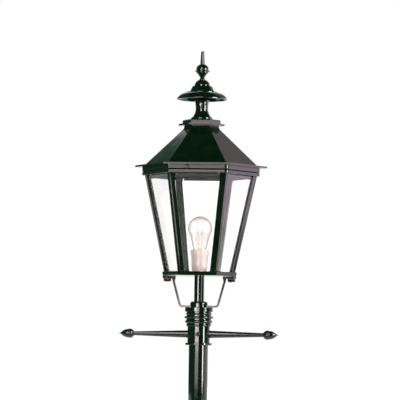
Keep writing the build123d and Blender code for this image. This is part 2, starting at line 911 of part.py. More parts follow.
with BuildPart() as clip:
    slant = tan(radians(face_angle))
    with BuildSketch(Plane.XZ):
        Polygon(
            (clip_foot - clip_leg, 0),
            (clip_foot, 0),
            (clip_foot - clip_drop * slant, -clip_drop),
            (clip_foot - clip_drop * slant - clip_thickness, -clip_drop),
            (clip_foot - clip_thickness - clip_thickness * slant, -clip_thickness),
            (clip_foot - clip_leg, -clip_thickness),
            align=None,
        )
    extrude(amount=clip_width / 2, both=True)
    with BuildSketch(Plane.XY):
        with Locations((clip_screw_offset, 0)):
            Circle(hole_radius)
    extrude(amount=-clip_thickness, mode=Mode.SUBTRACT)

with BuildPart() as glazing_clips:
    for place in PolarLocations(0, 6, start_angle=30):
        add(Pos(0, 0, ring_bottom) * place * clip.part)
write(glazing_clips, "glazing_clips")

with BuildPart() as frame_screws:
    for place in PolarLocations(clip_screw_offset, 6, start_angle=30):
        add(
            Pos(0, 0, ring_bottom - clip_thickness)
            * place
            * Rot(180, 0, 0)
            * pan_screw(
                small_screw_radius, clip_screw_length, small_screw_head_radius, small_screw_head_height
            )
        )
    for x in hinge_screw_places:
        add(
            Pos(x, ring_face + leaf_thickness, frame_screw_z)
            * Rot(-90, 0, 0)
            * pan_screw(
                small_screw_radius, small_screw_length, small_screw_head_radius, small_screw_head_height
            )
        )
write(frame_screws, "frame_screws")

# ---------------------------------------------------------------- roof hinge

outer_knuckle = (knuckle_span - knuckle_middle) / 2 - face_gap
skirt_screw_z = eave_bottom - small_screw_head_radius - face_gap
knuckle_web = knuckle_radius - 2 * leaf_margin

with BuildPart() as hinge_leaf_frame:
    with BuildSketch(Plane.YZ):
        with Locations((ring_face + leaf_thickness / 2, (ring_bottom + hinge_z) / 2)):
            Rectangle(leaf_thickness, hinge_z - ring_bottom - 2 * leaf_margin)
    extrude(amount=leaf_width / 2, both=True)
    for side in (-1, 1):
        with BuildSketch(Plane.YZ.offset(side * (knuckle_span - outer_knuckle) / 2)):
            with Locations((hinge_y, hinge_z)):
                Circle(knuckle_radius)
            with Locations((ring_face + hinge_standoff / 2, hinge_z - knuckle_radius / 2)):
                Rectangle(hinge_standoff, knuckle_web)
        extrude(amount=outer_knuckle / 2, both=True)
    with BuildSketch(Plane.YZ):
        with Locations((hinge_y, hinge_z)):
            Circle(hinge_pin_radius + running_gap)
    extrude(amount=knuckle_span, both=True, mode=Mode.SUBTRACT)
    with BuildSketch(Plane.XZ.offset(-ring_face - leaf_thickness)):
        with Locations(*[(x, frame_screw_z) for x in hinge_screw_places]):
            Circle(hole_radius)
    extrude(amount=leaf_thickness, mode=Mode.SUBTRACT)
write(hinge_leaf_frame, "hinge_leaf_frame")

with BuildPart() as hinge_leaf_roof:
    with BuildSketch(Plane.YZ):
        with Locations((ring_face + leaf_thickness / 2, (eave_bottom + roof_foot) / 2)):
            Rectangle(leaf_thickness, eave_bottom - roof_foot - 2 * leaf_margin)
    extrude(amount=leaf_width / 2, both=True)
    with BuildSketch(Plane.YZ):
        with Locations((hinge_y, hinge_z)):
            Circle(knuckle_radius)
        with Locations((ring_face + hinge_standoff / 2, hinge_z + knuckle_radius / 2)):
            Rectangle(hinge_standoff, knuckle_web)
    extrude(amount=knuckle_middle / 2, both=True)
    with BuildSketch(Plane.YZ):
        with Locations((hinge_y, hinge_z)):
            Circle(hinge_pin_radius + running_gap)
    extrude(amount=knuckle_span, both=True, mode=Mode.SUBTRACT)
    with BuildSketch(Plane.XZ.offset(-ring_face - leaf_thickness)):
        with Locations(*[(x, skirt_screw_z) for x in hinge_screw_places]):
            Circle(hole_radius)
    extrude(amount=leaf_thickness, mode=Mode.SUBTRACT)
write(hinge_leaf_roof, "hinge_leaf_roof")

with BuildPart() as hinge_pin:
    with BuildSketch(Plane.YZ):
        with Locations((hinge_y, hinge_z)):
            Circle(hinge_pin_radius)
    extrude(amount=knuckle_span / 2 + seat_gap + leaf_thickness, both=True)
    for side in (-1, 1):
        with BuildSketch(Plane.YZ.offset(side * (knuckle_span / 2 + seat_gap))):
            with Locations((hinge_y, hinge_z)):
                Circle(hinge_pin_head_radius)
        extrude(amount=side * leaf_thickness)
write(hinge_pin, "hinge_pin")

with BuildPart() as hinge_screws_roof:
    for x in hinge_screw_places:
        add(
            Pos(x, ring_face + leaf_thickness, skirt_screw_z)
            * Rot(-90, 0, 0)
            * pan_screw(
                small_screw_radius, skirt_wall, small_screw_head_radius, small_screw_head_height
            )
        )
write(hinge_screws_roof, "hinge_screws_roof")

# ---------------------------------------------------------------- roof casting

hip_sin = sin(radians(hip_pitch))
hip_cos = cos(radians(hip_pitch))
cove_turn = 90 - hip_pitch
cove_run = roof_cove_radius * tan(radians(cove_turn / 2))
hip_meets_neck = eave_top + (slope_foot_radius - roof_neck_radius) * hip_sin / hip_cos
cove_top = hip_meets_neck + cove_run
roof_top = cove_top + roof_neck_land
cove_steps = 5
cove_centre = roof_neck_radius + roof_cove_radius
cove_profile = [
    (
        cove_centre - roof_cove_radius * cos(radians(cove_turn * (1 - step / cove_steps))),
        cove_top - roof_cove_radius * sin(radians(cove_turn * (1 - step / cove_steps))),
    )
    for step in range(cove_steps + 1)
]
inner_offset = roof_wall / (half_corner * sin(atan(tan(radians(hip_pitch)) / half_corner)))
skirt_inner_radius = ring_radius - skirt_wall / half_corner
roof_ceiling = roof_top - roof_web
cavity_foot_radius = slope_foot_radius + (eave_top - eave_bottom) * hip_cos / hip_sin - inner_offset
cavity_neck_radius = roof_neck_radius - roof_wall / half_corner
cavity_neck_level = eave_bottom + (cavity_foot_radius - cavity_neck_radius) * hip_sin / hip_cos
roof_screw_z = roof_foot + skirt_height / 2

with BuildPart() as roof:
    add(hexagon(ring_radius, ring_corner, roof_foot))
    extrude(amount=skirt_height)
    fillet(roof.faces().sort_by(Axis.Z)[0].edges(), skirt_edge)
    add(hexagon(eave_radius, eave_corner, eave_bottom))
    extrude(amount=eave_edge_thickness)
    loft(
        sections=[
            hexagon(eave_radius, eave_corner, eave_edge_top),
            hexagon(slope_foot_radius, hip_corner, eave_top),
        ],
        ruled=True,
    )
    loft(
        sections=[hexagon(slope_foot_radius, hip_corner, eave_top)]
        + [hexagon(radius, hip_corner, level) for radius, level in cove_profile],
        ruled=True,
    )
    add(hexagon(roof_neck_radius, hip_corner, cove_top))
    extrude(amount=roof_neck_land)
    with BuildSketch(Plane.XY.offset(roof_foot)):
        RegularPolygon(skirt_inner_radius, 6)
    extrude(amount=skirt_height, mode=Mode.SUBTRACT)
    with BuildSketch(Plane.XY.offset(eave_bottom)) as cavity_foot:
        RegularPolygon(cavity_foot_radius, 6)
    with BuildSketch(Plane.XY.offset(cavity_neck_level)) as cavity_head:
        RegularPolygon(cavity_neck_radius, 6)
    loft(sections=[cavity_foot.sketch, cavity_head.sketch], ruled=True, mode=Mode.SUBTRACT)
    with BuildSketch(Plane.XY.offset(cavity_neck_level)):
        RegularPolygon(cavity_neck_radius, 6)
    extrude(amount=roof_ceiling - cavity_neck_level, mode=Mode.SUBTRACT)
    with BuildSketch(Plane.XY.offset(roof_ceiling)):
        Circle(vent_radius)
    extrude(amount=roof_web, mode=Mode.SUBTRACT)
    with BuildSketch(Plane.XZ.offset(ring_face)):
        with Locations((-roof_screw_offset, roof_screw_z)):
            Circle(roof_screw_radius + running_gap)
    extrude(amount=-skirt_wall, mode=Mode.SUBTRACT)
    with BuildSketch(Plane.XZ.offset(-ring_face)):
        with Locations(*[(x, skirt_screw_z) for x in hinge_screw_places]):
            Circle(hole_radius)
    extrude(amount=skirt_wall, mode=Mode.SUBTRACT)
write(roof, "roof")

with BuildPart() as roof_screw:
    with BuildSketch(Plane.XZ.offset(ring_face + running_gap)):
        with Locations((-roof_screw_offset, roof_screw_z)):
            Circle(roof_screw_head_radius)
    extrude(amount=roof_screw_head_height)
    fillet(roof_screw.faces().sort_by(Axis.Y)[0].edges(), roof_screw_edge)
    with BuildSketch(Plane.XZ.offset(ring_face + running_gap)):
        with Locations((-roof_screw_offset, roof_screw_z)):
            Circle(roof_screw_radius)
    extrude(amount=lip_face + face_gap - ring_face - running_gap)
    with BuildSketch(Plane.XZ.offset(ring_face + running_gap + roof_screw_head_height)):
        with Locations((-roof_screw_offset, roof_screw_z)):
            Rectangle(2 * roof_screw_head_radius, roof_screw_slot)
    extrude(amount=-roof_screw_slot, mode=Mode.SUBTRACT)
write(roof_screw, "roof_screw")

# ---------------------------------------------------------------- cap, chimney and canopy

cap_flange_radius = roof_neck_radius + cap_flange_lap
plinth_radius = roof_neck_radius + plinth_lap
cap_edge_top = roof_top + cap_flange_thickness
plinth_foot = cap_edge_top + cap_flange_rise
plinth_head = plinth_foot + plinth_height
cap_top = plinth_head + plinth_chamfer

with BuildPart() as roof_cap:
    add(hexagon(cap_flange_radius, cap_corner, roof_top))
    extrude(amount=cap_flange_thickness)
    loft(
        sections=[
            hexagon(cap_flange_radius, cap_corner, cap_edge_top),
            hexagon(plinth_radius, cap_corner, plinth_foot),
            hexagon(plinth_radius, cap_corner, plinth_head),
            hexagon(plinth_radius - plinth_chamfer, cap_corner, cap_top),
        ],
        ruled=True,
    )
    with BuildSketch(Plane.XY.offset(roof_top)):
        Circle(vent_radius)
    extrude(amount=cap_top - roof_top, mode=Mode.SUBTRACT)
write(roof_cap, "roof_cap")

neck_foot_top = cap_top + neck_foot_height
neck_top = cap_top + neck_height
waist_z = cap_top + neck_waist_level
neck_bore = neck_waist_radius - neck_wall
shoulder_radius = neck_foot_radius - neck_foot_edge
rod_hole = rod_radius + seat_gap
hub_radius = rod_hole + hub_wall

with BuildPart() as chimney_neck:
    with BuildSketch(Plane.XY.offset(cap_top)):
        Circle(neck_foot_radius)
    extrude(amount=neck_foot_height)
    fillet(chimney_neck.edges(), neck_foot_edge)
    with BuildSketch(Plane.XZ):
        with BuildLine():
            SagittaArc((shoulder_radius, neck_foot_top), (neck_waist_radius, waist_z), neck_lower_sag)
            SagittaArc((neck_waist_radius, waist_z), (neck_head_radius, neck_top), neck_upper_sag)
            Polyline(
                (neck_head_radius, neck_top),
                (0, neck_top),
                (0, neck_foot_top),
                (shoulder_radius, neck_foot_top),
            )
        make_face()
    revolve(axis=Axis.Z)
    with BuildSketch(Plane.XY.offset(cap_top)):
        Circle(neck_bore)
    extrude(amount=neck_height, mode=Mode.SUBTRACT)
    with BuildSketch(Plane.XY.offset(neck_top - hub_height)):
        Circle(hub_radius)
        with PolarLocations((hub_radius + neck_bore) / 2, 3, start_angle=90):
            Rectangle(neck_bore - hub_radius + spoke_width, spoke_width)
        Circle(rod_hole, mode=Mode.SUBTRACT)
    extrude(amount=hub_height)
write(chimney_neck, "chimney_neck")

rim_z = neck_top + canopy_gap
bell_foot = rim_z + canopy_edge
bell_top = rim_z + canopy_bell_rise
canopy_ring_top = bell_top + canopy_ring_height
step_top = canopy_ring_top + canopy_step_height
step_head_radius = canopy_step_radius - canopy_step_taper
dome_radius = step_head_radius - canopy_dome_inset
dome_foot = step_top + canopy_dome_foot
canopy_top = step_top + canopy_dome_height

with BuildPart() as canopy:
    with BuildSketch(Plane.XZ):
        with BuildLine():
            Line((canopy_radius, rim_z), (canopy_radius, bell_foot))
            SagittaArc((canopy_radius, bell_foot), (canopy_ring_radius, bell_top), -canopy_bell_sag)
            Polyline(
                (canopy_ring_radius, bell_top),
                (canopy_ring_radius, canopy_ring_top),
                (canopy_step_radius, canopy_ring_top),
                (step_head_radius, step_top),
                (dome_radius, dome_foot),
            )
            SagittaArc((dome_radius, dome_foot), (canopy_top_radius, canopy_top), -canopy_dome_sag)
            Polyline(
                (canopy_top_radius, canopy_top),
                (rod_hole, canopy_top),
                (rod_hole, neck_top),
                (hub_radius, neck_top),
                (hub_radius, step_top),
                (step_head_radius - canopy_wall, step_top - canopy_wall),
                (canopy_step_radius - canopy_wall, bell_top - canopy_wall),
                (canopy_ring_radius - canopy_wall, bell_top - canopy_wall),
            )
            SagittaArc(
                (canopy_ring_radius - canopy_wall, bell_top - canopy_wall),
                (canopy_radius - canopy_wall, rim_z),
                canopy_bell_sag,
            )
            Line((canopy_radius - canopy_wall, rim_z), (canopy_radius, rim_z))
        make_face()
    revolve(axis=Axis.Z)
write(canopy, "canopy")

# ---------------------------------------------------------------- finial and tie rod

finial_neck_radius = rod_hole + finial_neck_wall
finial_neck_z = canopy_top + finial_neck_level
cup_top = canopy_top + finial_cup_height
cup_edge = cup_top - finial_cup_lip
finial_ring_top = cup_top + finial_ring_height
ball_top = finial_ring_top + finial_ball_height
spike_foot_radius = rod_hole + spike_wall
spike_top = ball_top + spike_length

with BuildPart() as finial_base:
    with BuildSketch(Plane.XZ):
        with BuildLine():
            Polyline(
                (finial_neck_radius, finial_neck_z),
                (finial_foot_radius, canopy_top + finial_foot_height),
                (finial_foot_radius, canopy_top),
                (rod_hole, canopy_top),
                (rod_hole, cup_top),
                (finial_cup_radius, cup_top),
                (finial_cup_radius, cup_edge),
            )
            SagittaArc(
                (finial_cup_radius, cup_edge), (finial_neck_radius, finial_neck_z), -finial_cup_sag
            )
        make_face()
    revolve(axis=Axis.Z)
write(finial_base, "finial_base")

with BuildPart() as finial_ball:
    with BuildSketch(Plane.XY.offset(cup_top)):
        Circle(finial_ring_radius)
    extrude(amount=finial_ring_height)
    fillet(finial_ball.edges(), half_round * finial_ring_height)
    with BuildSketch(Plane.XZ):
        with BuildLine():
            SagittaArc(
                (finial_ball_radius, finial_ring_top), (spike_foot_radius, ball_top), -finial_ball_sag
            )
            Polyline(
                (spike_foot_radius, ball_top),
                (0, ball_top),
                (0, finial_ring_top),
                (finial_ball_radius, finial_ring_top),
            )
        make_face()
    revolve(axis=Axis.Z)
    with BuildSketch(Plane.XY.offset(cup_top)):
        Circle(rod_hole)
    extrude(amount=ball_top - cup_top, mode=Mode.SUBTRACT)
write(finial_ball, "finial_ball")

with BuildPart() as finial_spike:
    add(
        turned(
            (
                (0, ball_top),
                (spike_foot_radius, ball_top),
                (spike_tip_radius, spike_top),
                (0, spike_top),
            )
        )
    )
    fillet(finial_spike.edges().sort_by(Axis.Z)[-1], spike_tip_edge)
    with BuildSketch(Plane.XY.offset(ball_top)):
        Circle(rod_hole)
    extrude(amount=rod_in_spike + seat_gap, mode=Mode.SUBTRACT)
write(finial_spike, "finial_spike")

bridge_bottom = roof_ceiling - bridge_thickness
rod_nut_bottom = bridge_bottom - rod_nut_height

with BuildPart() as tie_bridge:
    with BuildSketch(Plane.XY.offset(bridge_bottom)):
        Rectangle(2 * (cavity_neck_radius - bridge_end_gap), bridge_width)
        Circle(rod_hole, mode=Mode.SUBTRACT)
    extrude(amount=bridge_thickness)
write(tie_bridge, "tie_bridge")

with BuildPart() as tie_nut:
    with BuildSketch(Plane.XY.offset(rod_nut_bottom)):
        RegularPolygon(rod_radius + rod_nut_wall, 6, major_radius=False)
        Circle(rod_hole, mode=Mode.SUBTRACT)
    extrude(amount=rod_nut_height)
write(tie_nut, "tie_nut")

with BuildPart() as tie_rod:
    with BuildSketch(Plane.XY.offset(rod_nut_bottom - rod_tail)):
        Circle(rod_radius)
    extrude(amount=ball_top + rod_in_spike - rod_nut_bottom + rod_tail)
write(tie_rod, "tie_rod")

# ---------------------------------------------------------------- lampholder

with BuildPart() as holder_seat:
    with BuildSketch(Plane.XY.offset(stem_top)):
        Circle(seat_disc_radius)
    extrude(amount=seat_disc_thickness)
    with BuildSketch(Plane.XY.offset(stem_top)):
        Circle(stem_bore - seat_gap)
    extrude(amount=-seat_spigot_length)
    with BuildSketch(Plane.XY.offset(stem_top - seat_spigot_length)):
        Circle(seat_bore)
    extrude(amount=seat_spigot_length + seat_disc_thickness, mode=Mode.SUBTRACT)
write(holder_seat, "holder_seat")

middle_z = holder_foot + holder_middle_level

with BuildPart() as holder_body:
    with BuildSketch(Plane.XZ):
        with BuildLine():
            SagittaArc(
                (holder_foot_radius, holder_foot), (holder_middle_radius, middle_z), -holder_foot_sag
            )
            Polyline(
                (holder_middle_radius, middle_z),
                (holder_head_radius, holder_top),
                (0, holder_top),
                (0, holder_foot),
                (holder_foot_radius, holder_foot),
            )
        make_face()
    revolve(axis=Axis.Z)
    with BuildSketch(Plane.XY.offset(holder_foot)):
        Circle(holder_foot_radius - holder_well_wall)
    extrude(amount=holder_web_level, mode=Mode.SUBTRACT)
    with BuildSketch(Plane.XY.offset(web_top)):
        Circle(shell_radius + seat_gap)
    extrude(amount=holder_top - web_top, mode=Mode.SUBTRACT)
write(holder_body, "holder_body")

with BuildPart() as holder_ring:
    with BuildSketch(Plane.XY.offset(holder_top)):
        Circle(holder_ring_radius)
    extrude(amount=holder_ring_height)
    fillet(holder_ring.edges().sort_by(Axis.Z)[-1], holder_ring_edge)
    with BuildSketch(Plane.XY.offset(holder_top)):
        Circle(holder_mouth_radius)
    extrude(amount=holder_ring_height, mode=Mode.SUBTRACT)
write(holder_ring, "holder_ring")

with BuildPart() as screw_shell:
    with BuildSketch(Plane.XY.offset(shell_bottom)):
        Circle(shell_radius)
        Circle(shell_bore, mode=Mode.SUBTRACT)
    extrude(amount=shell_length)
write(screw_shell, "screw_shell")

with BuildPart() as centre_contact:
    with BuildSketch(Plane.XY.offset(web_top)):
        Circle(contact_radius)
    extrude(amount=contact_leaf)
    with BuildSketch(Plane.XY.offset(web_top)):
        Circle(contact_post_radius)
    extrude(amount=contact_height)
write(centre_contact, "centre_contact")

terminal_bottom = web_bottom - terminal_height

with BuildPart() as holder_terminals:
    with BuildSketch(Plane.XY.offset(web_bottom)):
        with Locations((-terminal_offset, 0), (terminal_offset, 0)):
            Rectangle(terminal_width, terminal_depth)
            Circle(terminal_screw_radius + seat_gap, mode=Mode.SUBTRACT)
    extrude(amount=-terminal_height)
write(holder_terminals, "holder_terminals")

with BuildPart() as terminal_screws:
    for side in (-1, 1):
        add(
            Pos(side * terminal_offset, 0, terminal_bottom)
            * Rot(180, 0, 0)
            * pan_screw(
                terminal_screw_radius,
                terminal_height - face_gap,
                terminal_screw_head_radius,
                terminal_screw_head_height,
            )
        )
write(terminal_screws, "terminal_screws")

# ---------------------------------------------------------------- lamp

lamp_neck_z = lamp_cap_top + lamp_neck_level
shoulder_sin = sin(radians(lamp_shoulder_angle))
shoulder_cos = cos(radians(lamp_shoulder_angle))
lamp_centre = lamp_neck_z + lamp_shoulder_height + lamp_radius * shoulder_sin
root_bottom = lamp_cap_top - lamp_root_depth


def globe_face(inset):
    """Half section of the lamp's glass, drawn inside its outer surface by an inset."""
    radius = lamp_radius - inset
    low_point = (radius * shoulder_cos, lamp_centre - radius * shoulder_sin)
    root_edge = (lamp_root_radius - inset, lamp_cap_top)
    with BuildSketch(Plane.XZ) as section:
        with BuildLine():
            CenterArc((0, lamp_centre), radius, -lamp_shoulder_angle, 90 + lamp_shoulder_angle)
            Spline(
                low_point,
                (lamp_neck_radius - inset, lamp_neck_z),
                root_edge,
                tangents=((-shoulder_sin, -shoulder_cos), (-shoulder_sin, -shoulder_cos)),
            )
            Polyline(root_edge, (root_edge[0], root_bottom), (0, root_bottom), (0, lamp_centre + radius))
        make_face()
    return section.sketch


with BuildPart() as lamp_glass:
    add(globe_face(0))
    revolve(axis=Axis.Z)
    add(globe_face(lamp_glass_wall))
    revolve(axis=Axis.Z, mode=Mode.SUBTRACT)
write(lamp_glass, "lamp_glass")

with BuildPart() as lamp_cap:
    with BuildSketch(Plane.XY.offset(lamp_cap_bottom)):
        Circle(lamp_groove_radius)
    extrude(amount=lamp_cap_height)
    for thread in range(lamp_thread_turns):
        crest = lamp_cap_bottom + (thread + 1) * lamp_thread_pitch
        with BuildSketch(Plane.XZ):
            with Locations((lamp_groove_radius, crest)):
                Ellipse(lamp_thread_depth, half_round * lamp_thread_pitch)
        revolve(axis=Axis.Z)
    with BuildSketch(Plane.XY.offset(lamp_cap_bottom)):
        Circle(lamp_cap_bore)
    extrude(amount=lamp_cap_height, mode=Mode.SUBTRACT)
write(lamp_cap, "lamp_cap")

with BuildPart() as lamp_insulator:
    add(
        turned(
            (
                (0, lamp_insulator_bottom),
                (lamp_tip_radius, lamp_insulator_bottom),
                (lamp_groove_radius - lamp_insulator_inset, lamp_cap_bottom),
                (0, lamp_cap_bottom),
            )
        )
    )
    with BuildSketch(Plane.XY.offset(lamp_cap_bottom)):
        Circle(lamp_cap_bore - seat_gap)
    extrude(amount=lamp_tip_height)
write(lamp_insulator, "lamp_insulator")

with BuildPart() as lamp_tip:
    with BuildSketch(Plane.XY.offset(lamp_tip_bottom)):
        Circle(lamp_tip_radius)
    extrude(amount=lamp_tip_height)
    fillet(lamp_tip.edges().sort_by(Axis.Z)[0], lamp_tip_edge)
write(lamp_tip, "lamp_tip")

pinch_bottom = root_bottom + lamp_stem_height
pinch_top = pinch_bottom + lamp_pinch_height
arbor_top = pinch_top + lamp_arbor_height

with BuildPart() as lamp_stem:
    with BuildSketch(Plane.XY.offset(root_bottom)):
        Circle(lamp_root_radius - lamp_glass_wall - seat_gap)
    extrude(amount=lamp_glass_wall)
    with BuildSketch(Plane.XY.offset(root_bottom)):
        Circle(lamp_stem_radius)
    extrude(amount=lamp_stem_height)
    with BuildSketch(Plane.XY.offset(pinch_bottom)):
        Rectangle(lamp_pinch_width, lamp_pinch_depth)
    extrude(amount=lamp_pinch_height)
    with BuildSketch(Plane.XY.offset(pinch_top)):
        Circle(lamp_arbor_radius)
    extrude(amount=lamp_arbor_height)
    with Locations((0, 0, arbor_top)):
        Sphere(lamp_button_radius)
write(lamp_stem, "lamp_stem")

filament_z = lamp_cap_top + filament_level
filament_top = filament_z + filament_rise
lead_gap = filament_radius + seat_gap

with BuildPart() as lamp_leads:
    for side in (-1, 1):
        add(
            straight_wire(
                (side * lead_foot_offset, 0, pinch_top + lead_radius),
                (side * filament_half_span, 0, filament_z - lead_gap),
                lead_radius,
            )
        )
        add(
            straight_wire(
                (side * (lamp_button_radius + lead_radius), 0, arbor_top),
                (side * filament_top_half_span, 0, filament_top - lead_gap),
                lead_radius,
            )
        )
write(lamp_leads, "lamp_leads")

with BuildPart() as filament:
    with BuildLine(Plane.XZ) as filament_course:
        FilletPolyline(
            (-filament_half_span, filament_z),
            (-filament_top_half_span, filament_top),
            (filament_top_half_span, filament_top),
            (filament_half_span, filament_z),
            radius=filament_bend,
        )
    with BuildSketch(Plane(origin=filament_course.line @ 0, z_dir=filament_course.line % 0)):
        Circle(filament_radius)
    sweep(path=filament_course.line)
write(filament, "filament")
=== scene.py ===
import math

import bmesh
import bpy
import numpy as np
from mathutils import Matrix, Vector


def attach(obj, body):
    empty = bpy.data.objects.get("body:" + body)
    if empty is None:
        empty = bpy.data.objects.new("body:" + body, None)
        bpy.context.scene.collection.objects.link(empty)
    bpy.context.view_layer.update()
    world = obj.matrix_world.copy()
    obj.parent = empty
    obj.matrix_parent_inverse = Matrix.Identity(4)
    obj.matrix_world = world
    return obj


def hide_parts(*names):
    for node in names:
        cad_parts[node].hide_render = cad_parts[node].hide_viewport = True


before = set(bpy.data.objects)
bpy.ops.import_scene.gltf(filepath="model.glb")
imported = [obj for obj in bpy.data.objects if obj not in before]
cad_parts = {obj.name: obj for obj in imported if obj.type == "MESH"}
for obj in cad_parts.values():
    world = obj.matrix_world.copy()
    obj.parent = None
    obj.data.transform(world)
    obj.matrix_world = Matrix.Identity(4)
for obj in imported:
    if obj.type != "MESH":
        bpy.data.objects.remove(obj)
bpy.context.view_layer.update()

# ---------------------------------------------------------------- post
# A drawn steel tube, sprayed with bottle-green gloss enamel. Its upper end is turned down to a
# thinner spigot, which stands inside the collar.


def linear(colour):
    """Linear red, green, blue and alpha of an sRGB hex colour."""
    value = np.array([int(colour[at : at + 2], 16) for at in (1, 3, 5)]) / 255
    value = np.where(value <= 0.04045, value / 12.92, ((value + 0.055) / 1.055) ** 2.4)
    return (*value.tolist(), 1.0)


def add(tree, kind, settings=(), **inputs):
    """Adds a node with its settings. Each input, its name's spaces written as _, is a value or a link."""
    made = tree.nodes.new(kind)
    for name, value in dict(settings).items():
        setattr(made, name, value)
    for name, value in inputs.items():
        key = int(name[1:]) if name[1:].isdigit() else name.replace("_", " ")
        if isinstance(value, bpy.types.NodeSocket):
            tree.links.new(value, made.inputs[key])
        else:
            made.inputs[key].default_value = value
    return made


def new_material(name):
    """An empty material, its tree and the tree's Object coordinates."""
    material = bpy.data.materials.new(name)
    material.use_nodes = True
    tree = material.node_tree
    tree.nodes.clear()
    return material, tree, add(tree, "ShaderNodeTexCoord").outputs["Object"]


def dress(material, *nodes):
    """Gives CAD nodes a material."""
    for name in nodes:
        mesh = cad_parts[name].data
        mesh.materials.clear()
        mesh.materials.append(material)


def gloss_enamel(name, ripple_mm, peel_mm, roughness):
    """Bottle-green gloss enamel. Ripple is how far the film wanders over about 30 mm, peel is the
    size of its orange peel: together they bend what the gloss mirrors. Thin spots about 17 mm wide
    and specks of dust about 6 mm apart are lighter, and finger marks about 40 mm wide are duller."""
    material, tree, place = new_material(name)
    flow = add(tree, "ShaderNodeTexNoise", Vector=place, Scale=34.0, Detail=1.0, Roughness=0.4)
    peel = add(tree, "ShaderNodeTexNoise", Vector=place, Scale=0.5 / (peel_mm * 0.001), Detail=2.0)
    film = add(tree, "ShaderNodeTexNoise", Vector=place, Scale=60.0, Detail=5.0, Roughness=0.6)
    marks = add(tree, "ShaderNodeTexNoise", Vector=place, Scale=24.0, Detail=6.0, Roughness=0.75)
    specks = add(tree, "ShaderNodeTexVoronoi", Vector=place, Scale=160.0)
    dust = add(
        tree, "ShaderNodeMapRange",
        Value=specks.outputs["Distance"], From_Min=0.03, From_Max=0.09, To_Min=0.3, To_Max=0.0,
    )
    thin = add(tree, "ShaderNodeMapRange", Value=film.outputs["Fac"], From_Min=0.35, From_Max=0.7)
    tone = add(
        tree, "ShaderNodeMath", {"operation": "MAXIMUM"},
        i0=thin.outputs["Result"], i1=dust.outputs["Result"],
    )
    paint = add(
        tree, "ShaderNodeMix", {"data_type": "RGBA"},
        i0=tone.outputs[0], i6=linear("#0A1D0F"), i7=linear("#102B18"),
    )
    haze = add(
        tree, "ShaderNodeMapRange",
        Value=marks.outputs["Fac"], From_Min=0.45, From_Max=0.7, To_Min=roughness, To_Max=roughness + 0.07,
    )
    wander = add(
        tree, "ShaderNodeBump", Height=flow.outputs["Fac"], Strength=1.0, Distance=ripple_mm * 0.001,
    )
    skin = add(
        tree, "ShaderNodeBump",
        Height=peel.outputs["Fac"], Normal=wander.outputs["Normal"], Strength=0.5, Distance=0.000012,
    )
    shader = add(
        tree, "ShaderNodeBsdfPrincipled",
        Base_Color=paint.outputs[2], Roughness=haze.outputs["Result"], IOR=1.52,
        Normal=skin.outputs["Normal"],
    )
    add(tree, "ShaderNodeOutputMaterial", Surface=shader.outputs["BSDF"])
    return material


tube_enamel = gloss_enamel("gloss_enamel_on_drawn_tube", 0.05, 1.6, 0.07)
dress(tube_enamel, "post_tube")

# ---------------------------------------------------------------- collar
# One iron casting, turned to its mouldings and enamelled. Two round-head screws clamp it on the
# post, one in front and one behind.

cast_enamel = gloss_enamel("gloss_enamel_on_turned_iron", 0.10, 1.2, 0.08)
dress(cast_enamel, "collar")

# Button-head screws, front and back: turned heads with a drilled hexagon socket, enamelled over.

screw_level = 0.1875
screw_seat = 0.0279
screw_foot = 0.0223
screw_shank = 0.0030
button_radius = 0.0056
button_height = 0.0034
button_edge = 0.0020
button_edge_steps = 8
socket_half = 0.0018
socket_rim = 0.0001
socket_depth = 0.0022
drill_point = 0.0008


def grid_mesh(name, points, close_rows=False, close_columns=False):
    """Mesh of a grid of points, shaped (rows, columns, 3), with quads between neighbours. Points
    that meet, as in a pole's row, are merged, so the pole is closed by triangles."""
    rows, columns = points.shape[:2]
    index = np.arange(rows * columns).reshape(rows, columns)
    if close_rows:
        index = np.vstack([index, index[:1]])
    if close_columns:
        index = np.hstack([index, index[:, :1]])
    quads = np.stack([index[:-1, :-1], index[:-1, 1:], index[1:, 1:], index[1:, :-1]], -1).reshape(-1, 4)
    mesh = bpy.data.meshes.new(name)
    mesh.from_pydata(points.reshape(-1, 3).tolist(), [], quads.tolist())
    poles = bmesh.new()
    poles.from_mesh(mesh)
    bmesh.ops.remove_doubles(poles, verts=poles.verts, dist=1e-7)
    poles.to_mesh(mesh)
    poles.free()
    mesh.polygons.foreach_set("use_smooth", np.ones(len(mesh.polygons), bool))
    mesh.update()
    return mesh


def new_piece(name, mesh, material, body, replaced=()):
    """Links a mesh as a piece with its material and body, and hides the nodes it stands for."""
    mesh.materials.append(material)
    piece = bpy.data.objects.new(name, mesh)
    bpy.context.scene.collection.objects.link(piece)
    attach(piece, body)
    if replaced:
        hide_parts(*replaced)


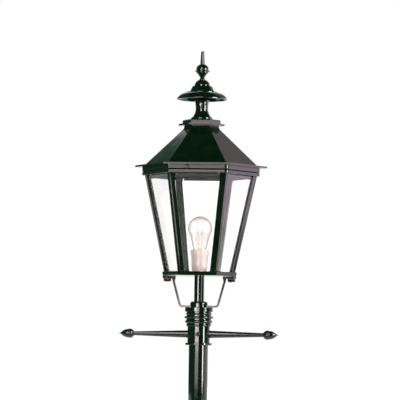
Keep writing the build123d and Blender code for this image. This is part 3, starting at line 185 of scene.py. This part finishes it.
def button_screw(turn, around=72):
    """Screw turned about its own level axis, from its foot along the shank, over the head's
    quarter-round edge and down the socket to a drilled point. In the socket the radius is that
    of a hexagon: its half width over the cosine of the angle from the nearest side's middle."""
    bend = np.linspace(0, np.pi / 2, button_edge_steps)
    top = screw_seat + button_height
    shank = [(0, screw_foot, 0), (screw_shank, screw_foot, 0), (screw_shank, screw_seat, 0)]
    rim_radius = button_radius - button_edge * (1 - np.cos(bend))
    rim_height = top - button_edge * (1 - np.sin(bend))
    rim = [(button_radius, screw_seat, 0)] + [(r, y, 0) for r, y in zip(rim_radius, rim_height)]
    socket = [(socket_half, top - depth_and_edge_shade, 1) for depth_and_edge_shade in (0, socket_rim, socket_depth)]
    profile = np.array(shank + rim + socket + [(0, top - socket_depth - drill_point, 1)])
    angle = np.linspace(0, 2 * np.pi, around, endpoint=False)
    side = (angle + np.pi / 6) % (np.pi / 3) - np.pi / 6
    r = profile[:, :1] * np.where(profile[:, 2:] > 0, 1 / np.cos(side), 1.0)
    out = profile[:, 1:2] + 0 * r
    across = r * np.cos(angle)
    x = across * np.cos(turn) + out * np.sin(turn)
    y = across * np.sin(turn) - out * np.cos(turn)
    return np.stack([x, y, screw_level + r * np.sin(angle)], -1)


for turn, word in ((0.0, "front"), (math.pi, "rear")):
    screw = grid_mesh(f"button_screw_{word}", button_screw(turn), close_columns=True)
    new_piece(f"button_screw_{word}", screw, cast_enamel, "lantern", ["collar_screws"])

# ---------------------------------------------------------------- ladder bar
# Two tapered iron arms, cast, enamelled and plugged into the collar. A lamplighter's ladder
# leaned on them.

dress(cast_enamel, "ladder_arm_left", "ladder_arm_right")

# Acorn ends: iron castings on the pins of the arms. Their cups carry rows of low overlapping scales.

acorn_from = 0.1615
cup_length = 0.014
nut_length = 0.0200
point_length = 0.0040
cup_radii = (0.0059, 0.0114)
nut_radii = (0.0106, 0.0016)
tip_radius = 0.0006
cup_sag = 0.0028
nut_sag = 0.00275
scale_rows = 5
scales_round = 14
scale_relief = 0.00045
ladder_level = 0.1875


def acorn_surface(side, steps=150, around=168):
    """Acorn turned about X. The radius is a chord plus a parabola of the stated sag, first along
    the cup and then along the nut. On the cup it drops by the relief, and rises again along each
    scale as a rounded tongue; every second row is turned by half a scale."""
    t = np.linspace(0, 1, steps)
    cup = cup_radii[0] + (cup_radii[1] - cup_radii[0]) * t + 4 * cup_sag * t * (1 - t)
    nut = nut_radii[0] + (nut_radii[1] - nut_radii[0]) * t + 4 * nut_sag * t * (1 - t)
    whole_length = cup_length + nut_length + point_length
    along = np.concatenate([
        [0], cup_length * t, [cup_length], cup_length + nut_length * t, [whole_length] * 2,
    ])
    radius = np.concatenate([[0], cup, [nut_radii[0]], nut, [tip_radius, 0]])
    angle = np.linspace(0, 2 * np.pi, around, endpoint=False)
    row = along / cup_length * scale_rows
    turn = scales_round * angle[None, :] / (2 * np.pi) + 0.5 * (np.floor(row) % 2)[:, None]
    across = np.abs(turn % 1 - 0.5) * 2
    tongue = (row % 1)[:, None] * np.sqrt(np.clip(1 - across**2, 0, 1))
    on_cup = ((along > 0) & (along < cup_length))[:, None]
    r = np.clip(radius[:, None] - on_cup * scale_relief * (1 - tongue), 0, None)
    x = side * (acorn_from + along)[:, None] + 0 * r
    points = np.stack([x, side * r * np.sin(angle), ladder_level - r * np.cos(angle)], -1)
    return grid_mesh("acorn", points, close_columns=True)


for side, word in ((1, "right"), (-1, "left")):
    new_piece(
        f"acorn_casting_{word}", acorn_surface(side), cast_enamel, "lantern",
        [f"acorn_{word}"],
    )

# ---------------------------------------------------------------- stay strap
# One flat wrought bar, bent to a cradle and enamelled. Its eye is held under the domed nut, and
# its feet are bolted to the tray.

dress(cast_enamel, "stay_strap", "dome_nut")

# Flange nuts under the feet of the strap: turned with a washer face and ribs for the fingers.

nut_bottom = 0.3185
nut_top = 0.3275
nut_offset = 0.0803
flange_height = 0.0022
flange_radius = 0.0111
rib_radius = 0.0094
rib_depth = 0.0007
rib_start = 0.0002
rib_end = 0.0012
ribs_round = 20
nut_bore = 0.00405
nut_edge = 0.0004
nut_chamfer = 0.0014


def ribbed_nut(place, around=240):
    """Turned ring from its bore down the outside: flange, shoulder and ribbed body. The body's
    radius falls by the rib depth times the square of a sine, once for each rib."""
    angle = np.linspace(0, 2 * np.pi, around, endpoint=False)
    shoulder = nut_top - flange_height
    flange = [
        (flange_radius - nut_edge, nut_top, 0), (flange_radius, nut_top - nut_edge, 0),
        (flange_radius, shoulder + nut_edge, 0), (flange_radius - nut_edge, shoulder, 0),
    ]
    body = [
        (rib_radius, shoulder, 1), (rib_radius, shoulder - rib_start, 1),
        (rib_radius, nut_bottom + rib_end, 1), (rib_radius - nut_edge, nut_bottom + nut_edge, 1),
        (rib_radius - nut_chamfer, nut_bottom, 0),
    ]
    profile = np.array([(nut_bore, nut_top, 0)] + flange + body + [(nut_bore, nut_bottom, 0)])
    dip = rib_depth * np.sin(ribs_round * angle / 2) ** 2
    r = profile[:, :1] - profile[:, 2:] * dip
    points = np.stack([place + r * np.cos(angle), r * np.sin(angle), profile[:, 1:2] + 0 * r], -1)
    return points[::-1]


for side, word in ((1, "right"), (-1, "left")):
    nut = grid_mesh("ribbed_nut", ribbed_nut(side * nut_offset), close_rows=True, close_columns=True)
    new_piece(f"ribbed_nut_{word}", nut, cast_enamel, "lantern", ["stay_nuts"])

# ---------------------------------------------------------------- stem
# A thick steel tube, enamelled, that carries the lantern on the collar. A plated locknut inside
# the tray holds the tray on it.

dress(tube_enamel, "stem_tube")


def bare_metal(name, colour, roughness, grain_mm):
    """Metal with no paint, bare or plated: its tone and gloss are clouded over about 6 mm by its
    bath or by air and heat, with a fine grain left by how it was worked."""
    material, tree, place = new_material(name)
    cloud = add(tree, "ShaderNodeTexNoise", Vector=place, Scale=160.0, Detail=4.0)
    grain = add(tree, "ShaderNodeTexNoise", Vector=place, Scale=0.5 / (grain_mm * 0.001), Detail=2.0)
    coat = add(
        tree, "ShaderNodeMix", {"data_type": "RGBA"},
        i0=cloud.outputs["Fac"], i6=linear(colour[0]), i7=linear(colour[1]),
    )
    haze = add(
        tree, "ShaderNodeMapRange",
        Value=cloud.outputs["Fac"], From_Min=0.3, From_Max=0.7, To_Min=roughness, To_Max=roughness + 0.15,
    )
    skin = add(tree, "ShaderNodeBump", Height=grain.outputs["Fac"], Strength=0.4, Distance=0.00002)
    shader = add(
        tree, "ShaderNodeBsdfPrincipled",
        Base_Color=coat.outputs[2], Metallic=1.0, Roughness=haze.outputs["Result"],
        Normal=skin.outputs["Normal"],
    )
    add(tree, "ShaderNodeOutputMaterial", Surface=shader.outputs["BSDF"])
    return material


zinc_steel = bare_metal("zinc_plated_steel", ("#A9ABAC", "#C3C6C8"), 0.3, 0.4)
dress(zinc_steel, "stem_locknut", "stay_studs")

# ---------------------------------------------------------------- base tray
# A shallow hexagonal metal casting with rounded corners, enamelled. The corner bars are screwed
# to its floor from below.

tray_enamel = gloss_enamel("gloss_enamel_on_cast_tray", 0.12, 1.4, 0.08)
dress(tray_enamel, "base_tray")

# ---------------------------------------------------------------- lampholder
# Porcelain in two parts, body and ring, glazed warm white. It stands on a plated steel disc that
# is fixed on the stem.

dress(zinc_steel, "holder_seat", "terminal_screws")


def glazed_porcelain():
    """White porcelain under a clear glaze, fired at one time: warm white, slightly uneven in
    tone, with tiny pinholes, and a hard wet-looking gloss."""
    material, tree, place = new_material("glazed_porcelain")
    cloud = add(tree, "ShaderNodeTexNoise", Vector=place, Scale=70.0, Detail=3.0)
    body = add(
        tree, "ShaderNodeMix", {"data_type": "RGBA"},
        i0=cloud.outputs["Fac"], i6=linear("#D6C4BE"), i7=linear("#E2D2CC"),
    )
    pits = add(tree, "ShaderNodeTexVoronoi", Vector=place, Scale=420.0)
    hollow = add(tree, "ShaderNodeMapRange", Value=pits.outputs["Distance"], From_Min=0.0, From_Max=0.12)
    wave = add(tree, "ShaderNodeTexNoise", Vector=place, Scale=110.0, Detail=1.0)
    dip = add(tree, "ShaderNodeBump", Height=hollow.outputs["Result"], Strength=0.3, Distance=0.00003)
    skin = add(
        tree, "ShaderNodeBump",
        Height=wave.outputs["Fac"], Normal=dip.outputs["Normal"], Strength=0.6, Distance=0.00012,
    )
    shader = add(
        tree, "ShaderNodeBsdfPrincipled",
        Base_Color=body.outputs[2], Roughness=0.16, IOR=1.52, Normal=skin.outputs["Normal"],
    )
    add(tree, "ShaderNodeOutputMaterial", Surface=shader.outputs["BSDF"])
    return material


porcelain = glazed_porcelain()
dress(porcelain, "holder_body", "holder_ring")

# Contacts: stamped and turned brass inside the holder, dulled by air and heat.

brass = bare_metal("tarnished_brass", ("#A8823A", "#C7A355"), 0.32, 0.3)
dress(brass, "screw_shell", "centre_contact", "holder_terminals", "lamp_tip")

# ---------------------------------------------------------------- lamp
# A clear bulb of blown soda-lime glass, fused to a glass mount that carries the wires, and
# cemented into an aluminium cap.


def clear_glass(name, colour, edge, wave_mm, wave_scale, ior):
    """Clear glass: all light passes, bent a little by the waves left when it was made. Seen edge-on
    it takes the edge colour, a painted shade that darkens its sides. A shadow ray goes straight
    through, so what stands behind or inside stays lit."""
    material, tree, place = new_material(name)
    wave = add(tree, "ShaderNodeTexNoise", Vector=place, Scale=wave_scale, Detail=1.0)
    skin = add(tree, "ShaderNodeBump", Height=wave.outputs["Fac"], Strength=1.0, Distance=wave_mm * 0.001)
    turned = add(tree, "ShaderNodeLayerWeight", Blend=0.5, Normal=skin.outputs["Normal"])
    # Painted shade: the glass's colour darkens toward the edge colour where it is seen edge-on.
    depth_and_edge_shade = add(tree, "ShaderNodeMapRange", Value=turned.outputs["Facing"], From_Min=0.35, From_Max=0.9)
    tint_and_edge_shade = add(
        tree, "ShaderNodeMix", {"data_type": "RGBA"},
        i0=depth_and_edge_shade.outputs["Result"], i6=linear(colour), i7=linear(edge),
    )
    shader = add(
        tree, "ShaderNodeBsdfPrincipled",
        Base_Color=tint_and_edge_shade.outputs[2], Roughness=0.0, IOR=ior, Normal=skin.outputs["Normal"],
    )
    shader.inputs["Transmission Weight"].default_value = 1.0
    through = add(tree, "ShaderNodeBsdfTransparent", Color=linear(colour))
    ray = add(tree, "ShaderNodeLightPath")
    both = add(
        tree, "ShaderNodeMixShader",
        i0=ray.outputs["Is Shadow Ray"], i1=shader.outputs["BSDF"], i2=through.outputs["BSDF"],
    )
    add(tree, "ShaderNodeOutputMaterial", Surface=both.outputs["Shader"])
    return material


# The bulb's dark edge colour is painted shade on the sides of the bulb and of its glass mount.
bulb_glass = clear_glass("blown_soda_lime_glass", "#F8F4F1", "#6A6260", 0.02, 60.0, 1.5)
dress(bulb_glass, "lamp_glass", "lamp_stem")
cap_aluminium = bare_metal("rolled_aluminium", ("#B9BABA", "#CFCFCE"), 0.28, 0.5)

# Lamp cap: a thin aluminium cup whose round thread is rolled into its wall.

cap_bottom = 0.3670
cap_top = 0.3890
cap_groove = 0.0122
cap_crest = 0.0009
cap_pitch = 0.0036
cap_wall = 0.0005
thread_fade = 0.002
cap_plain_rim = 0.005


def rolled_cap(rows=120, around=96):
    """Thin wall of one thickness. Its radius is the groove's plus the crest times half of one plus
    the cosine of the thread's phase, which grows by a turn for each pitch of height and for each
    turn round; the crest fades to nothing near both rims."""
    z = np.linspace(cap_bottom, cap_top, rows)[:, None]
    angle = np.linspace(0, 2 * np.pi, around, endpoint=False)[None, :]
    phase = 2 * np.pi * (z - cap_bottom) / cap_pitch - angle
    fade_in = np.clip((z - cap_bottom) / thread_fade, 0, 1)
    fade_out = np.clip((cap_top - cap_plain_rim - z) / thread_fade, 0, 1)
    fade = fade_in * fade_out
    outer = cap_groove + cap_crest * fade * (0.5 + 0.5 * np.cos(phase))
    r = np.vstack([outer, outer[::-1] - cap_wall])
    height = np.vstack([z, z[::-1]]) + 0 * r
    return np.stack([r * np.cos(angle), r * np.sin(angle), height], -1)


new_piece(
    "threaded_cap", grid_mesh("threaded_cap", rolled_cap(), close_rows=True, close_columns=True),
    cap_aluminium, "lamp", ["lamp_cap"],
)

# Insulator: a disc of black glass, pressed while hot, that parts the tip from the cap.


def black_glass():
    """Black glass, pressed hot, with a dull wavy gloss."""
    material, tree, place = new_material("pressed_black_glass")
    wave = add(tree, "ShaderNodeTexNoise", Vector=place, Scale=500.0, Detail=2.0)
    skin = add(tree, "ShaderNodeBump", Height=wave.outputs["Fac"], Strength=0.5, Distance=0.00005)
    haze = add(tree, "ShaderNodeMapRange", Value=wave.outputs["Fac"], To_Min=0.1, To_Max=0.3)
    shader = add(
        tree, "ShaderNodeBsdfPrincipled",
        Base_Color=linear("#0B0B0C"), Roughness=haze.outputs["Result"], IOR=1.5,
        Normal=skin.outputs["Normal"],
    )
    add(tree, "ShaderNodeOutputMaterial", Surface=shader.outputs["BSDF"])
    return material


dress(black_glass(), "lamp_insulator")
wire_nickel = bare_metal("nickel_wire", ("#4A4744", "#66625E"), 0.45, 0.2)
dress(wire_nickel, "lamp_leads")
tungsten = bare_metal("drawn_tungsten", ("#2A2A2C", "#3A3A3D"), 0.55, 0.2)

# Filament: tungsten wire wound to a fine coil, hung in an arch over four nickel wires.

arch = np.array([(-0.012, 0.4320), (-0.004, 0.4465), (0.004, 0.4465), (0.012, 0.4320)])
coil_radius = 0.00036
coil_pitch = 0.00055
strand_radius = 0.00012
corner_ease = 0.0009


def coiled_wire(steps_per_turn=12, around=6):
    """Tube along a helix. The helix winds about the arch, whose corners are eased by averaging over
    a short run; the tube's ring stands on the helix's outward direction and its cross product with
    the helix's own course."""
    runs = np.linalg.norm(np.diff(arch, axis=0), axis=1)
    reach = np.concatenate([[0], np.cumsum(runs)])
    turns = int(reach[-1] / coil_pitch)
    along = np.linspace(0, reach[-1], turns * steps_per_turn)
    ease = np.linspace(-corner_ease, corner_ease, 9)
    near = np.clip(along[:, None] + ease, 0, reach[-1])
    middle = np.stack([np.interp(near, reach, arch[:, axis]).mean(1) for axis in (0, 1)], -1)
    course = np.gradient(middle, axis=0)
    course /= np.linalg.norm(course, axis=1, keepdims=True)
    out = np.stack([-course[:, 1], 0 * along, course[:, 0]], -1)
    side = np.array([0.0, 1.0, 0.0])
    turn = 2 * np.pi * along[:, None] / coil_pitch
    outward = out * np.cos(turn) + side * np.sin(turn)
    helix = np.stack([middle[:, 0], 0 * along, middle[:, 1]], -1) + coil_radius * outward
    tangent = np.gradient(helix, axis=0)
    tangent /= np.linalg.norm(tangent, axis=1, keepdims=True)
    third = np.cross(tangent, outward)
    ring = np.linspace(0, 2 * np.pi, around, endpoint=False)[None, :, None]
    shrink = np.ones(len(along))
    shrink[[0, -1]] = 0.0
    return helix[:, None] + strand_radius * shrink[:, None, None] * (
        outward[:, None] * np.cos(ring) + third[:, None] * np.sin(ring)
    )


new_piece(
    "filament_coil", grid_mesh("filament_coil", coiled_wire(), close_columns=True),
    tungsten, "lamp", ["filament"],
)

# ---------------------------------------------------------------- corner bars
# Six enamelled metal castings, each a nose between two wings with the panes behind the wings.
# Plated screws fix them to the tray below and to the top ring above.

bar_enamel = gloss_enamel("gloss_enamel_on_cast_bars", 0.08, 1.4, 0.08)
corners = ("right", "rear_right", "rear_left", "left", "front_left", "front_right")
dress(bar_enamel, *(f"corner_bar_{corner}" for corner in corners))
dress(zinc_steel, "bar_screws")

# ---------------------------------------------------------------- panes
# Six trapezoids of float glass. They lie against the backs of the corner bars, and strips under
# the top ring hold their heads.

# The panes' edge colour is a faint painted shade where they are seen edge-on.
pane_glass = clear_glass("float_glass", "#FDFBFB", "#F4F2F2", 0.004, 14.0, 1.45)
walls = ("front", "front_right", "rear_right", "rear", "rear_left", "front_left")
dress(pane_glass, *(f"glass_pane_{wall}" for wall in walls))

# Glazing strips: spring steel, folded to an angle and blackened by a phosphate bath.

black_steel = bare_metal("phosphated_spring_steel", ("#1A1C1A", "#2A2C2A"), 0.4, 0.3)

strip_level = 0.5830
strip_front = 0.1137
strip_leg = 0.010
strip_drop = 0.005
strip_wall = 0.001
strip_half = 0.052
strip_lean_degrees = 10.49
strip_slant = math.tan(math.radians(strip_lean_degrees))


def glazing_strips():
    """Angle strips, one behind the head of each pane. The section is the six corners of the angle,
    drawn along the wall and to a middle point at either end, then turned by sixths of a circle."""
    foot = strip_front - strip_drop * strip_slant
    inner = strip_front - strip_wall - strip_wall * strip_slant
    section = np.array([
        (strip_front - strip_leg, 0), (strip_front, 0), (foot, -strip_drop),
        (foot - strip_wall, -strip_drop), (inner, -strip_wall), (strip_front - strip_leg, -strip_wall),
    ])
    knee = np.array([[strip_front - 0.8 * strip_wall, -0.5 * strip_wall]])
    stations = np.array([-strip_half, -strip_half, strip_half, strip_half])
    outlines = [knee + 0 * section, section, section, knee + 0 * section]
    one = np.stack([
        np.stack([stations[at] + 0 * line[:, 0], -line[:, 0], strip_level + line[:, 1]], -1)
        for at, line in enumerate(outlines)
    ])
    sixths = np.radians(60 * np.arange(6))[:, None, None]
    x = one[None, ..., 0] * np.cos(sixths) - one[None, ..., 1] * np.sin(sixths)
    y = one[None, ..., 0] * np.sin(sixths) + one[None, ..., 1] * np.cos(sixths)
    return np.stack([x, y, one[None, ..., 2] + 0 * x], -1)


for wall, points in zip(walls, glazing_strips()):
    strip = grid_mesh(f"glazing_strip_{wall}", points, close_columns=True)
    strip.polygons.foreach_set("use_smooth", np.zeros(len(strip.polygons), bool))
    new_piece(f"glazing_strip_{wall}", strip, black_steel, "lantern", ["glazing_clips"])

# ---------------------------------------------------------------- top ring
# A hexagonal metal casting, enamelled, that ties the bars together and carries the hinge and the
# roof. Blackened screws hold the glazing strips and the hinge's lower leaf on it.

dress(tray_enamel, "top_ring")
dress(black_steel, "frame_screws")

# ---------------------------------------------------------------- hinge
# A small iron butt hinge at the back: two leaves and a pin, enamelled with the frame. Plated
# screws fix the upper leaf to the roof.

dress(cast_enamel, "hinge_leaf_frame", "hinge_leaf_roof", "hinge_pin")
dress(zinc_steel, "hinge_screws_roof")

# ---------------------------------------------------------------- roof
# One aluminium casting, enamelled: skirt, flat eave and six slopes that cove into a short neck.
# It turns on the hinge, and a slotted screw in front keeps it shut.

roof_enamel = gloss_enamel("gloss_enamel_on_cast_roof", 0.25, 1.6, 0.10)
dress(roof_enamel, "roof", "roof_screw")

# ---------------------------------------------------------------- cap and chimney
# Two enamelled castings: a hexagonal cap, and a turned neck that lets the lamp's heat out. A
# plated tie rod, bridge and nut inside pull them down on the roof.

dress(roof_enamel, "roof_cap")
dress(cast_enamel, "chimney_neck")
dress(zinc_steel, "tie_bridge", "tie_nut", "tie_rod")

# ---------------------------------------------------------------- canopy
# One enamelled casting, a turned bell with a stepped dome. The tie rod clamps it on the chimney,
# where it keeps the rain out.

dress(cast_enamel, "canopy")

# ---------------------------------------------------------------- finial
# Three turned and enamelled castings, threaded on the tie rod: flared base, ringed ball and
# spike.

dress(cast_enamel, "finial_base", "finial_ball", "finial_spike")

# ---------------------------------------------------------------- studio
# A white floor under a white sky, in plain soft light from two lamps. Cards that only the gloss
# sees stand round the object: bright ones in front and to the right of the camera, dark ones at
# its left and below, and pale ones at its right and rear.

floor_x = (-6, 6)
floor_y = (-4, 3)
ground_x = (-3, 3)
ground_y = (-3.5, -0.25)
ground_level = 0.004
floor_glow = 0.85
sky_through_glass = 1.25
sky_after_bounce = 0.35


def stage_mesh(name, points, material):
    """Grid of points linked into the scene."""
    mesh = grid_mesh(name, points)
    mesh.materials.append(material)
    sheet = bpy.data.objects.new(name, mesh)
    bpy.context.scene.collection.objects.link(sheet)
    return sheet


def flat_sheet(x, y, z):
    """Two by two grid of points through the corners of a level or upright sheet."""
    return np.array([[(x[0], y[0], z[0]), (x[1], y[0], z[0])], [(x[0], y[1], z[1]), (x[1], y[1], z[1])]])


def stage_white(name, strength, base):
    """Matt white that also glows for what looks at it directly, in gloss or through glass, and not
    once the light has bounced off something matt."""
    material, tree, _ = new_material(name)
    matt = add(tree, "ShaderNodeBsdfDiffuse", Color=linear(base))
    ray = add(tree, "ShaderNodeLightPath")
    direct = add(
        tree, "ShaderNodeMath", {"operation": "MAXIMUM"},
        i0=ray.outputs["Is Camera Ray"], i1=ray.outputs["Is Glossy Ray"],
    )
    seen = add(
        tree, "ShaderNodeMath", {"operation": "MAXIMUM"},
        i0=direct.outputs[0], i1=ray.outputs["Is Transmission Ray"],
    )
    first = add(tree, "ShaderNodeMath", {"operation": "LESS_THAN"}, i0=ray.outputs["Diffuse Depth"], i1=0.5)
    unlit = add(tree, "ShaderNodeMath", {"operation": "MULTIPLY"}, i0=seen.outputs[0], i1=first.outputs[0])
    power = add(tree, "ShaderNodeMath", {"operation": "MULTIPLY"}, i0=unlit.outputs[0], i1=strength)
    glow = add(tree, "ShaderNodeEmission", Strength=power.outputs[0])
    both = add(tree, "ShaderNodeAddShader", i0=matt.outputs[0], i1=glow.outputs[0])
    add(tree, "ShaderNodeOutputMaterial", Surface=both.outputs[0])
    return material


white_floor = stage_white("studio_floor", floor_glow, "#F4F4F4")
stage_mesh("floor", flat_sheet(floor_x, floor_y, (0, 0)), white_floor)

# Sky: white for the camera and a quarter brighter through glass. It is dimmer as light that has
# bounced, and black for gloss, which sees the cards in its stead.

world = bpy.data.worlds.new("studio")
bpy.context.scene.world = world
world.use_nodes = True
sky_tree = world.node_tree
sky_tree.nodes.clear()
sky_ray = add(sky_tree, "ShaderNodeLightPath")
sky_glazed = add(
    sky_tree, "ShaderNodeMath", {"operation": "MULTIPLY"},
    i0=sky_ray.outputs["Is Transmission Ray"], i1=sky_through_glass,
)
sky_seen = add(
    sky_tree, "ShaderNodeMath", {"operation": "MAXIMUM"},
    i0=sky_ray.outputs["Is Camera Ray"], i1=sky_glazed.outputs[0],
)
sky_late = add(
    sky_tree, "ShaderNodeMath", {"operation": "GREATER_THAN"},
    i0=sky_ray.outputs["Diffuse Depth"], i1=0.5,
)
sky_power = add(
    sky_tree, "ShaderNodeMix", {"data_type": "FLOAT"},
    i0=sky_late.outputs[0], i2=sky_seen.outputs[0], i3=sky_after_bounce,
)
sky = add(sky_tree, "ShaderNodeBackground", Color=linear("#FFFFFF"), Strength=sky_power.outputs[0])
add(sky_tree, "ShaderNodeOutputWorld", Surface=sky.outputs["Background"])


def glowing_card(name, card_name, points, colour, strength):
    """Sheet of even glow that only gloss sees, so it lights nothing."""
    material, tree, _ = new_material(name)
    glow = add(tree, "ShaderNodeEmission", Color=linear(colour), Strength=strength)
    add(tree, "ShaderNodeOutputMaterial", Surface=glow.outputs[0])
    card = stage_mesh(card_name, points, material)
    card.visible_camera = False
    card.visible_diffuse = False
    card.visible_transmission = False
    card.visible_shadow = False


def gloss_card(name, azimuths, heights, radius, colour, strength):
    """Card bent round the object between two azimuths, in degrees to the right of its front, and
    two heights. A point lies at the radius times the sine and minus the cosine of its azimuth."""
    turn = np.radians(np.linspace(*azimuths, 24))[None, :]
    level = np.array(heights)[:, None]
    x = radius * np.sin(turn) + 0 * level
    y = -radius * np.cos(turn) + 0 * level
    glowing_card(name, name, np.stack([x, y, level + 0 * turn], -1), colour, strength)


# Cards in front of the object and to the left of the camera, one for each band of height.

gloss_card("card_front_post", (-36, 4), (-0.3, 0.155), 3.0, "#F0DCE4", 5.0)
gloss_card("card_front_collar", (-30, 6), (0.155, 0.285), 3.0, "#FAEEF2", 18.0)
gloss_card("card_front_stem", (-34, -13), (0.285, 0.5), 3.0, "#FAEEF2", 22.0)
gloss_card("card_front_frieze", (-30, 8), (0.5, 1.3), 3.0, "#F4E0E8", 4.0)
gloss_card("card_front_high", (-22, 2), (1.3, 2.8), 3.0, "#FFF8FA", 11.0)

# Cards in front and to the right of the camera: they draw the long bright lines.

gloss_card("card_window_low", (54, 66), (-0.2, 0.29), 3.0, "#F6FFFC", 26.0)
gloss_card("card_window_stem", (48, 62), (0.29, 0.5), 3.0, "#F6FFFC", 5.0)
gloss_card("card_window_high", (54, 78), (0.5, 2.2), 3.0, "#FFFFFF", 18.0)

# Cards at the right, left and rear of the object, and a dark one over the floor before it.

gloss_card("card_right_post", (80, 130), (0.01, 0.16), 1.2, "#E4D2D8", 2.2)
gloss_card("card_right_cage", (98, 152), (0.27, 1.1), 1.2, "#E6CCE0", 3.0)
gloss_card("card_right_roof", (120, 168), (1.15, 3.2), 1.6, "#F0E0E2", 0.55)
gloss_card("card_left", (-150, -46), (0.01, 2.4), 1.2, "#A0E0CC", 0.14)
gloss_card("card_rear", (116, 244), (0.0, 4.0), 3.2, "#FFFFFF", 1.0)
ground_sheet = flat_sheet(ground_x, ground_y, (ground_level, ground_level))
glowing_card("card_ground_dark", "card_ground", ground_sheet, "#B0C8C0", 0.03)


def soft_window(name, place, target, width, height, power):
    """Rectangular soft light that faces its target. The gloss sees the cards in its stead."""
    data = bpy.data.lights.new(name, "AREA")
    data.shape = "RECTANGLE"
    data.size = width
    data.size_y = height
    data.energy = power
    lamp = bpy.data.objects.new(name, data)
    bpy.context.scene.collection.objects.link(lamp)
    lamp.location = place
    lamp.rotation_euler = (Vector(target) - Vector(place)).to_track_quat("-Z", "Y").to_euler()
    lamp.visible_camera = False
    lamp.visible_glossy = False


middle = (0.0, 0.0, 0.45)
soft_window("window_left", (-0.9, -3.0, 0.9), middle, 1.6, 2.4, 42.0)
soft_window("window_right", (2.6, 0.1, 0.7), middle, 0.9, 2.2, 28.0)

# Camera: a long lens at the height of the collar, a few degrees to the right of the front, tilted
# up and rolled as in the photograph. The focal length is in pixels of a 400-pixel picture.

camera_distance = 6.5
camera_yaw = math.radians(4.4)
camera_height = 0.180
camera_pitch = math.radians(3.02)
camera_pan = math.radians(0.012)
camera_roll = math.radians(0.85)
focal_pixels = 2600.0
picture_pixels = 400.0

lens = bpy.data.cameras.new("lens")
lens.sensor_width = 36.0
lens.lens = focal_pixels / picture_pixels * lens.sensor_width
lens.clip_end = 100.0
camera = bpy.data.objects.new("camera", lens)
bpy.context.scene.collection.objects.link(camera)
camera.location = (
    camera_distance * math.sin(camera_yaw),
    -camera_distance * math.cos(camera_yaw),
    camera_height,
)
camera_turn = (
    Matrix.Rotation(camera_yaw + camera_pan, 3, "Z")
    @ Matrix.Rotation(math.pi / 2 + camera_pitch, 3, "X")
    @ Matrix.Rotation(camera_roll, 3, "Z")
)
camera.rotation_euler = camera_turn.to_euler()
bpy.context.scene.camera = camera

bpy.context.scene.view_settings.view_transform = "Standard"

bpy.context.view_layer.update()
